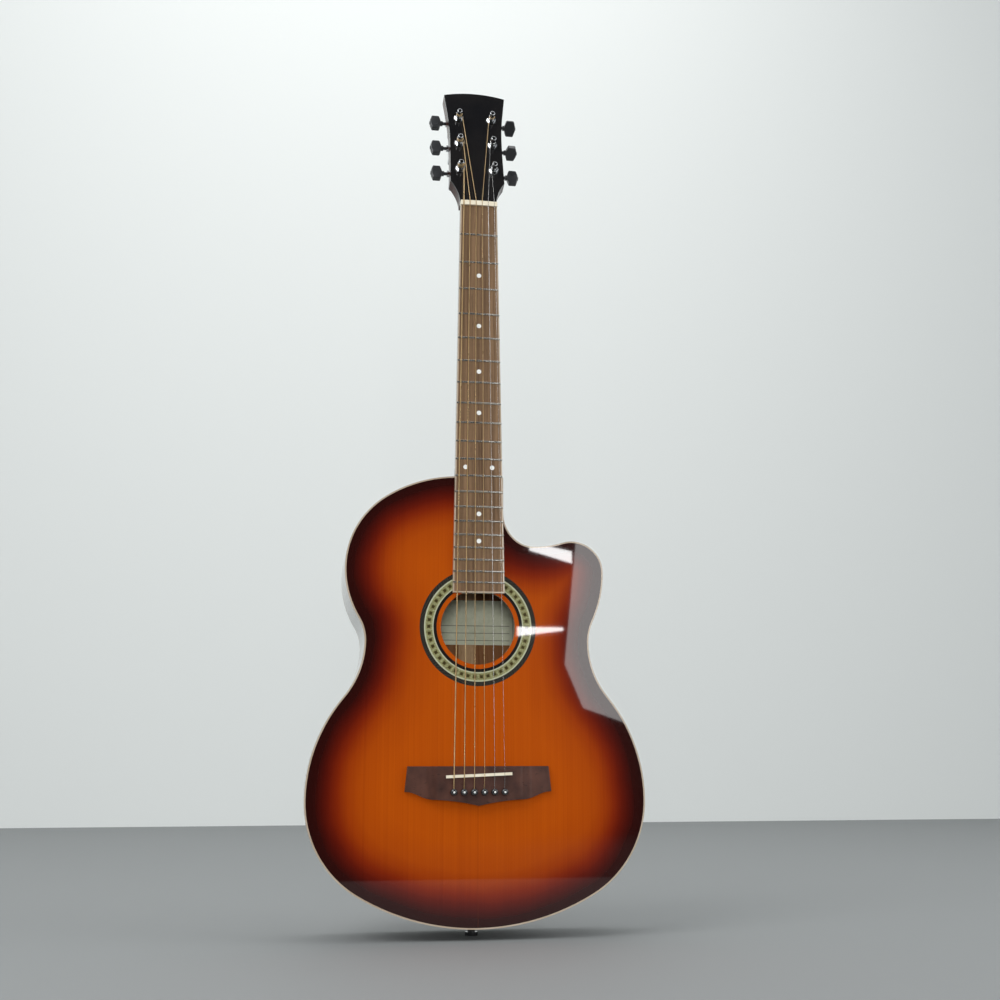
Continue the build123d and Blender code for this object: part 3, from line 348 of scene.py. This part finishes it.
@dataclass(frozen=True)
class WoodLook:
    """How one piece of wood is coloured and finished."""

    dark: Colour
    light: Colour
    across: float = 300.0
    along: float = 6.0
    roughness: float = 0.4
    smear: float = 0.08
    coat: float = 0.0
    coat_roughness: float = 0.08
    pores: float = 0.3
    wear: Colour | None = None
    wear_width: float = 0.0008
    relief: float = 0.25


class Wood(Finish):
    """Wood with streaks, lines and pores, raw, oiled or lacquered."""

    def __init__(self, name: str, look: WoodLook) -> None:
        """Keep the look of this wood."""
        super().__init__()
        self.name = name
        self.look = look

    def grain_colour(self, dark: Colour, light: Colour) -> tuple:
        """Colour and height of the grain between two tones."""
        write = self.write
        grain = self.group(EFFECTS.grain(), Across=self.look.across, Along=self.look.along)
        share = write.math("ADD", write.math("MULTIPLY", grain.outputs["Streak"], 0.7),
                           write.math("MULTIPLY", grain.outputs["Line"], 0.3))
        colour = write.ramp(share, [(0.36, dark), (0.64, light)])
        pore = write.math("MULTIPLY", grain.outputs["Pore"], self.look.pores)
        colour = write.blend(pore, colour, tuple(part * 0.35 for part in dark))
        return colour, write.math("SUBTRACT", grain.outputs["Line"], pore)

    def paint(self) -> None:
        """Write the grain, its wear and its gloss."""
        colour, height = self.grain_colour(self.look.dark, self.look.light)
        self.dress(colour, height)

    def dress(self, colour, height) -> None:
        """Add wear, roughness, coat and relief to a grain colour."""
        look = self.look
        if look.wear:
            mask = self.group(EFFECTS.wear(), Width=look.wear_width).outputs["Mask"]
            colour = self.write.blend(mask, colour, look.wear)
        dull = self.group(EFFECTS.handling(), Base=look.roughness, Smear=look.smear)
        self.set(Base_Color=colour, Roughness=dull.outputs["Roughness"], Coat_Weight=look.coat,
                 Coat_Roughness=look.coat_roughness,
                 Specular_IOR_Level=0.03 if look.coat > 0.5 else 0.3)
        self.bump(height, look.relief)


class BackWood(Wood):
    """Book-matched back: dark lacquer outside, bare wood inside."""

    inside_dark: Colour = (0.16, 0.070, 0.030)
    inside_light: Colour = (0.27, 0.130, 0.060)

    def paint(self) -> None:
        """Lacquer the outer face, leave the inner face bare and draw the centre joint."""
        write = self.write
        outer, height = self.grain_colour(self.look.dark, self.look.light)
        inner, _ = self.grain_colour(self.inside_dark, self.inside_light)
        facing = write.add("SeparateXYZ", {0: write.add("NewGeometry").outputs["Normal"]}).outputs[1]
        outside = write.math("GREATER_THAN", facing, -0.3)
        x, _, _ = self.axes()
        seam = write.remap(write.math("ABSOLUTE", x), 0.0003, 0.0007)
        outer = write.blend(seam, (0.012, 0.004, 0.003), outer)
        self.dress(write.blend(outside, inner, outer), height)
        self.set(Coat_Weight=write.math("MULTIPLY", outside, self.look.coat))


@dataclass(frozen=True)
class PlainLook:
    """How one moulded, cast or cut piece is coloured and finished."""

    colour: Colour
    second: Colour
    mottle: float = 60.0
    metal: float = 0.0
    roughness: float = 0.3
    smear: float = 0.1
    coat: float = 0.0
    wear: Colour | None = None
    wear_width: float = 0.0005
    brush: float = 0.0


class Plain(Finish):
    """Plastic, bone, pearl or metal with a little life in its colour and gloss."""

    def __init__(self, name: str, look: PlainLook) -> None:
        """Keep the look of this piece."""
        super().__init__()
        self.name = name
        self.look = look

    def paint(self) -> None:
        """Write the mottled colour, the wear, the smears and any brushing."""
        write, look = self.write, self.look
        cloud = write.remap(write.noise(self.place, look.mottle, 4.0, 0.6), 0.35, 0.65)
        colour = write.blend(cloud, look.colour, look.second)
        if look.wear:
            mask = self.group(EFFECTS.wear(), Width=look.wear_width).outputs["Mask"]
            colour = write.blend(mask, colour, look.wear)
        dull = self.group(EFFECTS.handling(), Base=look.roughness, Smear=look.smear)
        self.set(Base_Color=colour, Roughness=dull.outputs["Roughness"], Metallic=look.metal,
                 Coat_Weight=look.coat, Coat_Roughness=0.05,
                 Specular_IOR_Level=0.03 if look.coat > 0.9 else 0.5)
        if look.brush:
            lines = write.noise(write.stretch(self.place, (90.0, 90.0, 2600.0)), 1.0, 2.0)
            self.bump(lines, look.brush, 0.00005)
        else:
            self.bump(dull.outputs["Peel"], 0.05, 0.00005)


@dataclass(frozen=True)
class RosetteLook:
    """Sizes and colours of the inlaid ring, in metres."""

    rings: tuple[float, ...] = (0.0491, 0.0502, 0.0581, 0.0594)
    black: Colour = (0.012, 0.010, 0.009)
    pale: Colour = (0.42, 0.43, 0.29)
    mosaic: Colour = (0.24, 0.23, 0.10)
    light_tile: Colour = (0.34, 0.35, 0.20)
    dark_tile: Colour = (0.045, 0.034, 0.012)
    tiles: int = 46
    rope: int = 150


class RosetteInlay(Finish):
    """Black, pale and mosaic rings around the soundhole."""

    name = "rosette_inlay"

    def __init__(self, look: RosetteLook) -> None:
        """Keep the ring's sizes and colours."""
        super().__init__()
        self.look = look

    def paint(self) -> None:
        """Write the rings by their distance from the soundhole's centre."""
        write, look = self.write, self.look
        x, _, z = self.axes()
        up = write.math("SUBTRACT", z, HOLE_CENTRE.z)
        radius = write.math("SQRT", write.math("ADD", write.math("MULTIPLY", x, x),
                                               write.math("MULTIPLY", up, up)))
        around = write.math("DIVIDE", write.math("ARCTAN2", up, x), 2 * math.pi)
        middle = (look.rings[1] + look.rings[2]) / 2
        out_from_middle = write.math("ABSOLUTE", write.math("SUBTRACT", radius, middle))
        tile = write.math("PINGPONG", write.math("MULTIPLY", around, look.tiles), 0.5)
        half_tile = write.math("MULTIPLY", tile, 2 * math.pi * middle / look.tiles)
        square = write.math("MAXIMUM", half_tile, out_from_middle)
        tiles = write.ramp(write.remap(square, 0.0, 0.004), [
            (0.0, look.dark_tile), (0.36, look.dark_tile), (0.50, look.mosaic),
            (0.70, look.mosaic), (0.95, look.light_tile)])
        flecks = write.noise(self.place, 700.0, 2.0)
        tiles = write.blend(write.remap(flecks, 0.45, 0.6, 0.0, 0.5), tiles, look.dark_tile)
        twist = write.math("ADD", write.math("MULTIPLY", around, look.rope),
                           write.math("MULTIPLY", radius, 500.0))
        strands = write.math("PINGPONG", twist, 0.5)
        rope = write.ramp(write.math("MULTIPLY", strands, 2.0),
                          [(0.62, look.black), (0.95, (0.085, 0.080, 0.060))])
        colour = write.blend(write.math("GREATER_THAN", radius, look.rings[0]), look.black, look.pale)
        colour = write.blend(write.math("GREATER_THAN", radius, look.rings[1]), colour, tiles)
        colour = write.blend(write.math("GREATER_THAN", radius, look.rings[2]), colour, look.pale)
        colour = write.blend(write.math("GREATER_THAN", radius, look.rings[3]), colour, rope)
        dull = self.group(EFFECTS.handling(), Base=0.3, Smear=0.06)
        self.set(Base_Color=colour, Roughness=dull.outputs["Roughness"], Specular_IOR_Level=0.03,
                 Coat_Weight=1.0, Coat_Roughness=0.022)
        self.bump(dull.outputs["Peel"], 0.04, 0.0001)


class PaperLabel(Finish):
    """Aged paper with plain ruled lines and a thin border."""

    name = "paper_label"

    def paint(self) -> None:
        """Write the fibres, the ruled lines and the border."""
        write = self.write
        low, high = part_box("label")
        x, _, z = self.axes()
        fibres = write.remap(write.noise(self.place, 180.0, 5.0), 0.3, 0.7)
        colour = write.blend(fibres, (0.50, 0.52, 0.38), (0.60, 0.61, 0.47))
        down = write.math("SUBTRACT", high.z, z)
        row = write.math("ABSOLUTE", write.math("SUBTRACT", write.math("FRACT", write.math(
            "DIVIDE", down, 0.0085)), 0.5))
        line = write.math("LESS_THAN", row, 0.045)
        inside = write.math("LESS_THAN", write.math("ABSOLUTE", x), high.x - 0.008)
        lower = write.math("GREATER_THAN", down, (high.z - low.z) * 0.42)
        ink = write.math("MULTIPLY", write.math("MULTIPLY", line, inside), lower)
        side = write.math("ABSOLUTE", write.math("SUBTRACT", write.math("ABSOLUTE", x), high.x - 0.004))
        border = write.math("LESS_THAN", side, 0.0004)
        ink = write.math("MAXIMUM", ink, border)
        colour = write.blend(write.math("MULTIPLY", ink, 0.75), colour, (0.05, 0.05, 0.04))
        self.set(Base_Color=colour, Roughness=0.85)
        self.bump(fibres, 0.15, 0.0001)


class WoundString(Finish):
    """Bronze winding round a steel core, seen as fine ridges along the string."""

    name = "wound_bronze"

    def paint(self) -> None:
        """Write the winding ridges, the painted shade in their grooves and the warm tarnish."""
        write = self.write
        _, y, z = self.axes()
        turns = write.math("SINE", write.math("MULTIPLY", z, 2 * math.pi / 0.0011))
        tarnish = write.remap(write.noise(self.place, 35.0, 3.0), 0.35, 0.7)
        colour = write.blend(tarnish, (0.74, 0.54, 0.29), (0.56, 0.38, 0.18))
        # painted shade: the colour darkens to a deep bronze in each groove between winding turns
        groove_shade = write.remap(turns, -1.0, 0.2, 0.55, 0.0)
        colour = write.blend(groove_shade, colour, (0.30, 0.19, 0.09))
        self.set(Base_Color=colour, Metallic=1.0, Roughness=write.remap(tarnish, 0.0, 1.0, 0.26, 0.4))
        self.bump(turns, 0.6, 0.0002)


class Slot(Enum):
    """The record's material slots named for the new pieces."""

    TOP = "soundboard_wood"
    PEARL = "pearl_dots"
    BRONZE = "string_bronze"
    PLAIN = "string_steel"


@dataclass
class Palette:
    """Every finish on the instrument."""

    top: Finish = field(default_factory=lambda: SunburstTop(Sunburst()))
    side: Finish = field(default_factory=lambda: Wood("side_lacquer", WoodLook(
        (0.020, 0.0045, 0.004), (0.050, 0.010, 0.007), 150.0, 5.0, 0.3, 0.05, 1.0, 0.04, 0.3)))
    back: Finish = field(default_factory=lambda: BackWood("back_lacquer", WoodLook(
        (0.035, 0.008, 0.005), (0.095, 0.020, 0.010), 170.0, 4.0, 0.3, 0.05, 1.0, 0.04, 0.4)))
    neck: Finish = field(default_factory=lambda: Wood("neck_stain", WoodLook(
        (0.022, 0.006, 0.004), (0.060, 0.015, 0.009), 260.0, 5.0, 0.32, 0.1, 0.6, 0.12, 0.3)))
    head: Finish = field(default_factory=lambda: Plain("head_black", PlainLook(
        (0.0075, 0.0075, 0.0085), (0.012, 0.011, 0.011), 18.0, 0.0, 0.25, 0.06, 1.0,
        (0.05, 0.045, 0.04), 0.0005)))
    board: Finish = field(default_factory=lambda: Wood("fretboard_rosewood", WoodLook(
        (0.085, 0.045, 0.021), (0.235, 0.140, 0.072), 620.0, 9.0, 0.5, 0.1, 0.0, 0.1, 0.7)))
    bridge: Finish = field(default_factory=lambda: Wood("bridge_rosewood", WoodLook(
        (0.036, 0.013, 0.009), (0.085, 0.032, 0.021), 60.0, 60.0, 0.42, 0.1, 0.25, 0.2, 0.6,
        (0.12, 0.06, 0.04), 0.0006)))
    inside: Finish = field(default_factory=lambda: Wood("inside_spruce", WoodLook(
        (0.33, 0.20, 0.10), (0.52, 0.35, 0.20), 240.0, 12.0, 0.7, 0.1, 0.0, 0.1, 0.3)))
    binding: Finish = field(default_factory=lambda: Plain("cream_binding", PlainLook(
        (0.36, 0.28, 0.20), (0.43, 0.35, 0.27), 30.0, 0.0, 0.3, 0.1, 0.6, (0.45, 0.33, 0.2), 0.0004)))
    rosette: Finish = field(default_factory=lambda: RosetteInlay(RosetteLook()))
    paper: Finish = field(default_factory=PaperLabel)
    bone: Finish = field(default_factory=lambda: Plain("bone_cream", PlainLook(
        (0.78, 0.72, 0.58), (0.70, 0.62, 0.47), 120.0, 0.0, 0.32, 0.12, 0.2)))
    fret: Finish = field(default_factory=lambda: Plain("nickel_frets", PlainLook(
        (0.66, 0.63, 0.57), (0.55, 0.52, 0.47), 200.0, 1.0, 0.2, 0.15)))
    pearl: Finish = field(default_factory=lambda: Plain("pearl_dots", PlainLook(
        (0.86, 0.85, 0.80), (0.72, 0.76, 0.76), 500.0, 0.0, 0.2, 0.05, 0.8)))
    chrome: Finish = field(default_factory=lambda: Plain("tuner_chrome", PlainLook(
        (0.78, 0.79, 0.80), (0.66, 0.67, 0.69), 90.0, 1.0, 0.07, 0.12, 0.0, (0.35, 0.34, 0.32), 0.0003)))
    steel: Finish = field(default_factory=lambda: Plain("plain_steel", PlainLook(
        (0.58, 0.58, 0.57), (0.45, 0.45, 0.45), 160.0, 1.0, 0.25, 0.15, 0.0, None, 0.0005, 0.2)))
    button: Finish = field(default_factory=lambda: Plain("button_plastic", PlainLook(
        (0.020, 0.021, 0.023), (0.032, 0.033, 0.035), 70.0, 0.0, 0.25, 0.15, 0.4,
        (0.13, 0.13, 0.13), 0.0006)))
    pin: Finish = field(default_factory=lambda: Plain("pin_plastic", PlainLook(
        (0.009, 0.009, 0.010), (0.016, 0.016, 0.017), 120.0, 0.0, 0.16, 0.08, 0.8)))
    bronze: Finish = field(default_factory=WoundString)
    plain: Finish = field(default_factory=lambda: Plain("plain_string", PlainLook(
        (0.72, 0.72, 0.72), (0.60, 0.59, 0.57), 40.0, 1.0, 0.18, 0.1)))
    brass: Finish = field(default_factory=lambda: Plain("ball_brass", PlainLook(
        (0.72, 0.57, 0.34), (0.54, 0.40, 0.22), 300.0, 1.0, 0.3, 0.1)))


PALETTE = Palette()


# ------------------------------------------------------------------ pieces


class Assembly:
    """Base of every sub-assembly: dresses CAD nodes and adds its own pieces."""

    def dress(self, node: str, finish: Finish) -> None:
        """Give a carried-over node a finish."""
        slots = frame["nodes"][node].data.materials
        slots.clear()
        slots.append(finish.make())
        log.info("dressed %s with %s", node, finish.name)

    def piece(self, name: str, shape: BMesh, finish: Finish, body: str, slot: Slot) -> bpy.types.Object:
        """Turn a finished shape into a piece of the model.

        Args:
            name: the piece's name.
            shape: its mesh, in place in the shared frame; it is freed.
            finish: its finish.
            body: the body that it rides on.
            slot: the record's material slot; not used.

        Returns:
            The new object.
        """
        mesh = bpy.data.meshes.new(name)
        shape.to_mesh(mesh)
        shape.free()
        made = bpy.data.objects.new(name, mesh)
        bpy.context.scene.collection.objects.link(made)
        mesh.materials.append(finish.make())
        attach(made, body)
        log.info("built %s with %d faces, riding on %s", name, len(mesh.polygons), body)
        return made

    def copy_of(self, node: str) -> BMesh:
        """Merged working copy of a CAD node's mesh."""
        shape = bmesh.new()
        shape.from_mesh(frame["nodes"][node].data)
        bmesh.ops.remove_doubles(shape, verts=shape.verts, dist=1e-6)
        return shape


@dataclass
class Soundboard(Assembly):
    """The top, cut into a fine lattice so that the burst can follow its edge."""

    lattice: float = 0.006

    def build(self) -> None:
        """Build the burst top and dress the rosette and the binding."""
        shape = self.copy_of("soundboard")
        self.cut(shape, 0)
        self.cut(shape, 2)
        self.measure(shape)
        top = self.piece("burst_top", shape, PALETTE.top, "root", Slot.TOP)
        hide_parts("soundboard")
        self.dress("rosette", PALETTE.rosette)
        self.dress("top_binding", PALETTE.binding)

    def cut(self, shape: BMesh, axis: int) -> None:
        """Slice the board along one axis at every lattice line."""
        low, high = (corner[axis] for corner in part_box("soundboard"))
        normal = Vector([1.0 if index == axis else 0.0 for index in range(3)])
        for step in range(1, int((high - low) / self.lattice) + 1):
            bmesh.ops.bisect_plane(shape, geom=shape.verts[:] + shape.edges[:] + shape.faces[:],
                                   dist=1e-7, plane_co=normal * (low + step * self.lattice),
                                   plane_no=normal)

    def measure(self, shape: BMesh) -> None:
        """Store each point's distance from the body's edge as an attribute."""
        rim = self.copy_of("top_binding")
        tree = BVHTree.FromBMesh(rim)
        rim.free()
        layer = shape.verts.layers.float.new("edge_distance")
        for vert in shape.verts:
            vert[layer] = tree.find_nearest(vert.co)[3]


@dataclass
class BodyShell(Assembly):
    """Sides, back, bindings and everything glued inside."""

    inside: tuple[str, ...] = (
        "top_lining", "back_lining", "neck_block", "tail_block", "x_braces", "transverse_brace",
        "tone_bars", "finger_braces", "bridge_plate", "back_braces", "back_centre_strip")

    def build(self) -> None:
        """Dress the shell and the woodwork inside it."""
        self.dress("back_plate", PALETTE.back)
        for node in ("bass_side", "treble_side"):
            self.dress(node, PALETTE.side)
        self.dress("back_binding", PALETTE.binding)
        for node in self.inside:
            self.dress(node, PALETTE.inside)
        self.dress("label", PALETTE.paper)
        self.dress("end_pin", PALETTE.pin)


@dataclass
class Bridge(Assembly):
    """Bridge, saddle, bridge pins and the pearl dots in their heads."""

    dot_radius: float = 0.0011
    dot_height: float = 0.0004

    def build(self) -> None:
        """Dress the bridge and set a dot in each pin."""
        self.dress("bridge", PALETTE.bridge)
        self.dress("saddle", PALETTE.bone)
        for number in STRING_NUMBERS:
            self.dress(f"bridge_pin_{number}", PALETTE.pin)
            self.dot(number)

    def dot(self, number: int) -> None:
        """Set a domed pearl dot in one pin's head."""
        low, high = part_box(f"bridge_pin_{number}")
        shape = bmesh.new()
        bmesh.ops.create_uvsphere(shape, u_segments=24, v_segments=12, radius=self.dot_radius)
        bmesh.ops.scale(shape, vec=(1.0, self.dot_height / self.dot_radius, 1.0), verts=shape.verts)
        centre = Vector(((low.x + high.x) / 2, low.y + self.dot_height * 0.35, (low.z + high.z) / 2))
        bmesh.ops.translate(shape, vec=centre, verts=shape.verts)
        for face in shape.faces:
            face.smooth = True
        self.piece(f"pin_dot_{number}", shape, PALETTE.pearl, f"bridge_pin_{number}", Slot.PEARL)


@dataclass
class Neck(Assembly):
    """Neck, fretboard, frets, markers, nut and truss rod."""

    def build(self) -> None:
        """Dress everything from the heel to the nut."""
        finishes = {
            "neck": PALETTE.neck, "heel_cap": PALETTE.binding, "head_plate": PALETTE.head,
            "fretboard": PALETTE.board, "fretboard_binding": PALETTE.binding, "frets": PALETTE.fret,
            "position_dots": PALETTE.pearl, "side_dots": PALETTE.pin, "nut": PALETTE.bone,
            "truss_rod": PALETTE.steel, "truss_rod_nut": PALETTE.steel}
        for node, finish in finishes.items():
            self.dress(node, finish)


@dataclass
class Tuners(Assembly):
    """Machine heads: housings, bushings, posts and buttons."""

    post_radius: float = 0.0030
    wrap_radii: tuple[float, ...] = (0.00067, 0.00053, 0.00042, 0.00032, 0.00021, 0.00015)
    wrap_below_top: float = 0.0079
    wrap_seat: float = 0.85               # how far the coil stands off the post, in string radii
    wrap_pitch: float = 1.9               # rise of one turn, in string radii
    wrap_turns: int = 3
    steps_per_turn: int = 28
    ring_segments: int = 10

    def coil(self, number: int) -> None:
        """Wind one string's end round its post as a real coil."""
        joint = next(entry for entry in frame["joints"] if entry["name"] == f"post_{number}_turn")
        axis = Vector(joint["axis"]).normalized()
        foot = Vector(joint["pos_m"])
        post = frame["nodes"][f"tuner_post_{number}"]
        top = max((vert.co - foot).dot(axis) for vert in post.data.vertices)
        radius = self.wrap_radii[number - 1]
        out = Vector((1.0, 0.0, 0.0))
        reach = self.post_radius + radius * self.wrap_seat
        start = foot + axis * (top - self.wrap_below_top) + out * reach
        shape = bmesh.new()
        ring = bmesh.ops.create_circle(shape, segments=self.ring_segments, radius=radius)
        turn = Matrix((out, axis, out.cross(axis))).transposed().to_4x4()
        bmesh.ops.transform(shape, matrix=Matrix.Translation(start) @ turn, verts=ring["verts"])
        steps = self.wrap_turns * self.steps_per_turn
        rise = axis * (self.wrap_pitch * radius * self.wrap_turns / steps)
        bmesh.ops.spin(shape, geom=shape.verts[:] + shape.edges[:], cent=foot, axis=axis, dvec=rise,
                       angle=2 * math.pi * self.wrap_turns, steps=steps)
        bmesh.ops.holes_fill(shape, edges=[edge for edge in shape.edges if edge.is_boundary], sides=0)
        bmesh.ops.recalc_face_normals(shape, faces=shape.faces)
        for face in shape.faces:
            face.smooth = len(face.verts) == 4
        wound = number <= WOUND_STRINGS
        self.piece(f"string_coil_{number}", shape, PALETTE.bronze if wound else PALETTE.plain,
                   f"tuner_post_{number}", Slot.BRONZE if wound else Slot.PLAIN)

    def build(self) -> None:
        """Dress the six machine heads."""
        for node in ("tuner_housings", "tuner_bushings", "tuner_washers"):
            self.dress(node, PALETTE.chrome)
        self.dress("tuner_screws", PALETTE.steel)
        for number in STRING_NUMBERS:
            self.dress(f"tuner_post_{number}", PALETTE.chrome)
            self.dress(f"tuner_key_{number}", PALETTE.button)
            self.coil(number)


@dataclass
class Strings(Assembly):
    """Four wound and two plain strings with their ball ends."""

    def build(self) -> None:
        """Dress the strings."""
        self.dress("wound_strings", PALETTE.bronze)
        self.dress("plain_strings", PALETTE.plain)
        self.dress("ball_ends", PALETTE.brass)


# ------------------------------------------------------------------ studio


@dataclass
class Studio:
    """Camera, floor, wall, soft lights and the cards that the gloss mirrors."""

    camera_place: Colour = (-0.1996, -1.4267, 0.1693)
    camera_right: Colour = (0.98716, -0.15971, -0.00344)
    camera_up: Colour = (-0.03035, -0.20861, 0.97753)
    lens: float = 45.9
    wall_y: float = 3.2
    floor_half: float = 9.0
    wall_height: float = 6.0
    mirror_y: float = -2.5
    floor_colour: Colour = (0.255, 0.265, 0.265)
    wall_colour: Colour = (0.82, 0.84, 0.82)
    sky_colour: Colour = (0.93, 0.97, 1.0)
    sky_strength: float = 0.62
    lamp_glow: float = 22.0
    pale_glow: float = 4.2

    def camera(self) -> None:
        """Set up the camera."""
        data = bpy.data.cameras.new("camera")
        data.lens = self.lens
        data.sensor_width = 36.0
        data.clip_start = 0.05
        made = bpy.data.objects.new("camera", data)
        right = Vector(self.camera_right).normalized()
        up = Vector(self.camera_up)
        up = (up - right * up.dot(right)).normalized()
        turn = Matrix((right, up, right.cross(up))).transposed().to_4x4()
        made.matrix_world = Matrix.Translation(self.camera_place) @ turn
        bpy.context.scene.collection.objects.link(made)
        bpy.context.scene.camera = made

    def card(self, name: str, corners: tuple[Colour, ...], colour: Colour, glow: float,
             only_gloss: bool = False, roughness: float = 0.7) -> bpy.types.Object:
        """Stand a flat card in the studio.

        Args:
            name: the card's name.
            corners: its corners in order.
            colour: its colour.
            glow: how strongly it shines by itself.
            only_gloss: seen in reflections alone.
            roughness: how dull it is.

        Returns:
            The card.
        """
        shape = bmesh.new()
        shape.faces.new([shape.verts.new(corner) for corner in corners])
        mesh = bpy.data.meshes.new(name)
        shape.to_mesh(mesh)
        shape.free()
        made = bpy.data.objects.new(name, mesh)
        bpy.context.scene.collection.objects.link(made)
        material = bpy.data.materials.new(name)
        material.use_nodes = True
        surface = material.node_tree.nodes["Principled BSDF"]
        surface.inputs["Base Color"].default_value = rgba(colour)
        surface.inputs["Roughness"].default_value = roughness
        surface.inputs["Specular IOR Level"].default_value = 0.2
        surface.inputs["Emission Color"].default_value = rgba(colour)
        surface.inputs["Emission Strength"].default_value = glow
        mesh.materials.append(material)
        if only_gloss:
            made.visible_camera = False
            made.visible_diffuse = False
            made.visible_shadow = False
        return made

    def room(self) -> None:
        """Lay the floor, stand the wall and set the pale surroundings."""
        half, wall = self.floor_half, self.wall_y
        self.card("floor", ((-half, -half, 0), (half, -half, 0), (half, wall, 0), (-half, wall, 0)),
                  self.floor_colour, 0.0)
        self.card("wall", ((-half, wall, -0.01), (half, wall, -0.01), (half, wall, self.wall_height),
                           (-half, wall, self.wall_height)),
                  self.wall_colour, 0.0)
        world = bpy.data.worlds.new("surroundings")
        world.use_nodes = True
        sky = world.node_tree.nodes["Background"]
        sky.inputs[0].default_value = rgba(self.sky_colour)
        sky.inputs[1].default_value = self.sky_strength
        bpy.context.scene.world = world

    def mirror_cards(self) -> None:
        """Put up the dark room and the bright shapes that the lacquer shows."""
        y = self.mirror_y
        self.card("dark_room", ((-4, y - 0.05, -0.5), (4, y - 0.05, -0.5), (4, y - 0.05, 1.9),
                                (-4, y - 0.05, 1.9)), (0.0, 0.0, 0.0), 0.0, True)
        self.card("dark_ground", ((-4, y, 0.002), (4, y, 0.002), (4, -0.82, 0.002), (-4, -0.82, 0.002)),
                  (0.0, 0.0, 0.0), 0.0, True)
        self.card("dark_ceiling", ((-0.5, y - 0.05, 1.9), (1.2, y - 0.05, 1.9), (0.9, -0.7, 2.3),
                                   (-0.1, -0.7, 2.3)), (0.0, 0.0, 0.0), 0.0, True)
        self.card("lamp_low", ((0.475, y, 0.583), (0.620, y, 0.602), (0.618, y, 0.612),
                               (0.475, y, 0.612)), (1.0, 1.0, 1.0), self.lamp_glow, True)
        self.card("lamp_high", ((0.515, y, 0.850), (0.650, y, 0.812), (0.650, y, 0.850),
                                (0.515, y, 0.876)), (1.0, 1.0, 1.0), self.lamp_glow, True)
        self.card("pale_wall", ((0.80, y, 0.326), (1.7, y, 0.30), (1.7, y, 1.15), (0.66, y, 1.15),
                                (0.665, y, 0.90), (0.622, y, 0.50), (0.677, y, 0.368)),
                  (0.95, 0.96, 0.95), self.pale_glow, True)

    def light(self, name: str, place: Colour, aim: Colour, size: float, watts: float,
              mirrored: bool = True) -> None:
        """Hang one soft square light aimed at a point, shown in the gloss or not."""
        data = bpy.data.lights.new(name, "AREA")
        data.size = size
        data.energy = watts
        made = bpy.data.objects.new(name, data)
        way = Vector(aim) - Vector(place)
        made.matrix_world = Matrix.Translation(place) @ way.to_track_quat("-Z", "Y").to_matrix().to_4x4()
        made.visible_glossy = mirrored
        bpy.context.scene.collection.objects.link(made)

    def build(self) -> None:
        """Set up the whole studio."""
        self.camera()
        self.room()
        self.mirror_cards()
        self.light("key", (-1.7, -1.5, 2.3), (0.0, 0.0, 0.45), 1.6, 36.0)
        self.light("fill", (2.0, -0.9, 1.4), (0.0, 0.0, 0.5), 1.6, 12.0)
        self.light("front", (-0.35, -2.5, 0.38), (0.0, 0.0, 0.40), 0.5, 26.0, False)
        self.light("wall_wash", (0.0, 0.9, 4.2), (0.0, 3.2, 0.9), 3.5, 70.0)
        log.info("studio ready")


def corners(box: tuple) -> list[list[float]]:
    """Both corners of a box as plain numbers."""
    return [[float(value) for value in corner] for corner in box]


def main() -> None:
    """Build the studio and each sub-assembly in order, and report each one."""
    logging.basicConfig(level=logging.INFO, format="%(name)s: %(message)s")
    bpy.context.scene.view_settings.view_transform = "Standard"
    Studio().build()
    for assembly in (Soundboard(), BodyShell(), Bridge(), Neck(), Tuners(), Strings()):
        assembly.build()
        log.info("%s finished", type(assembly).__name__)


if __name__ == "__main__":
    main()
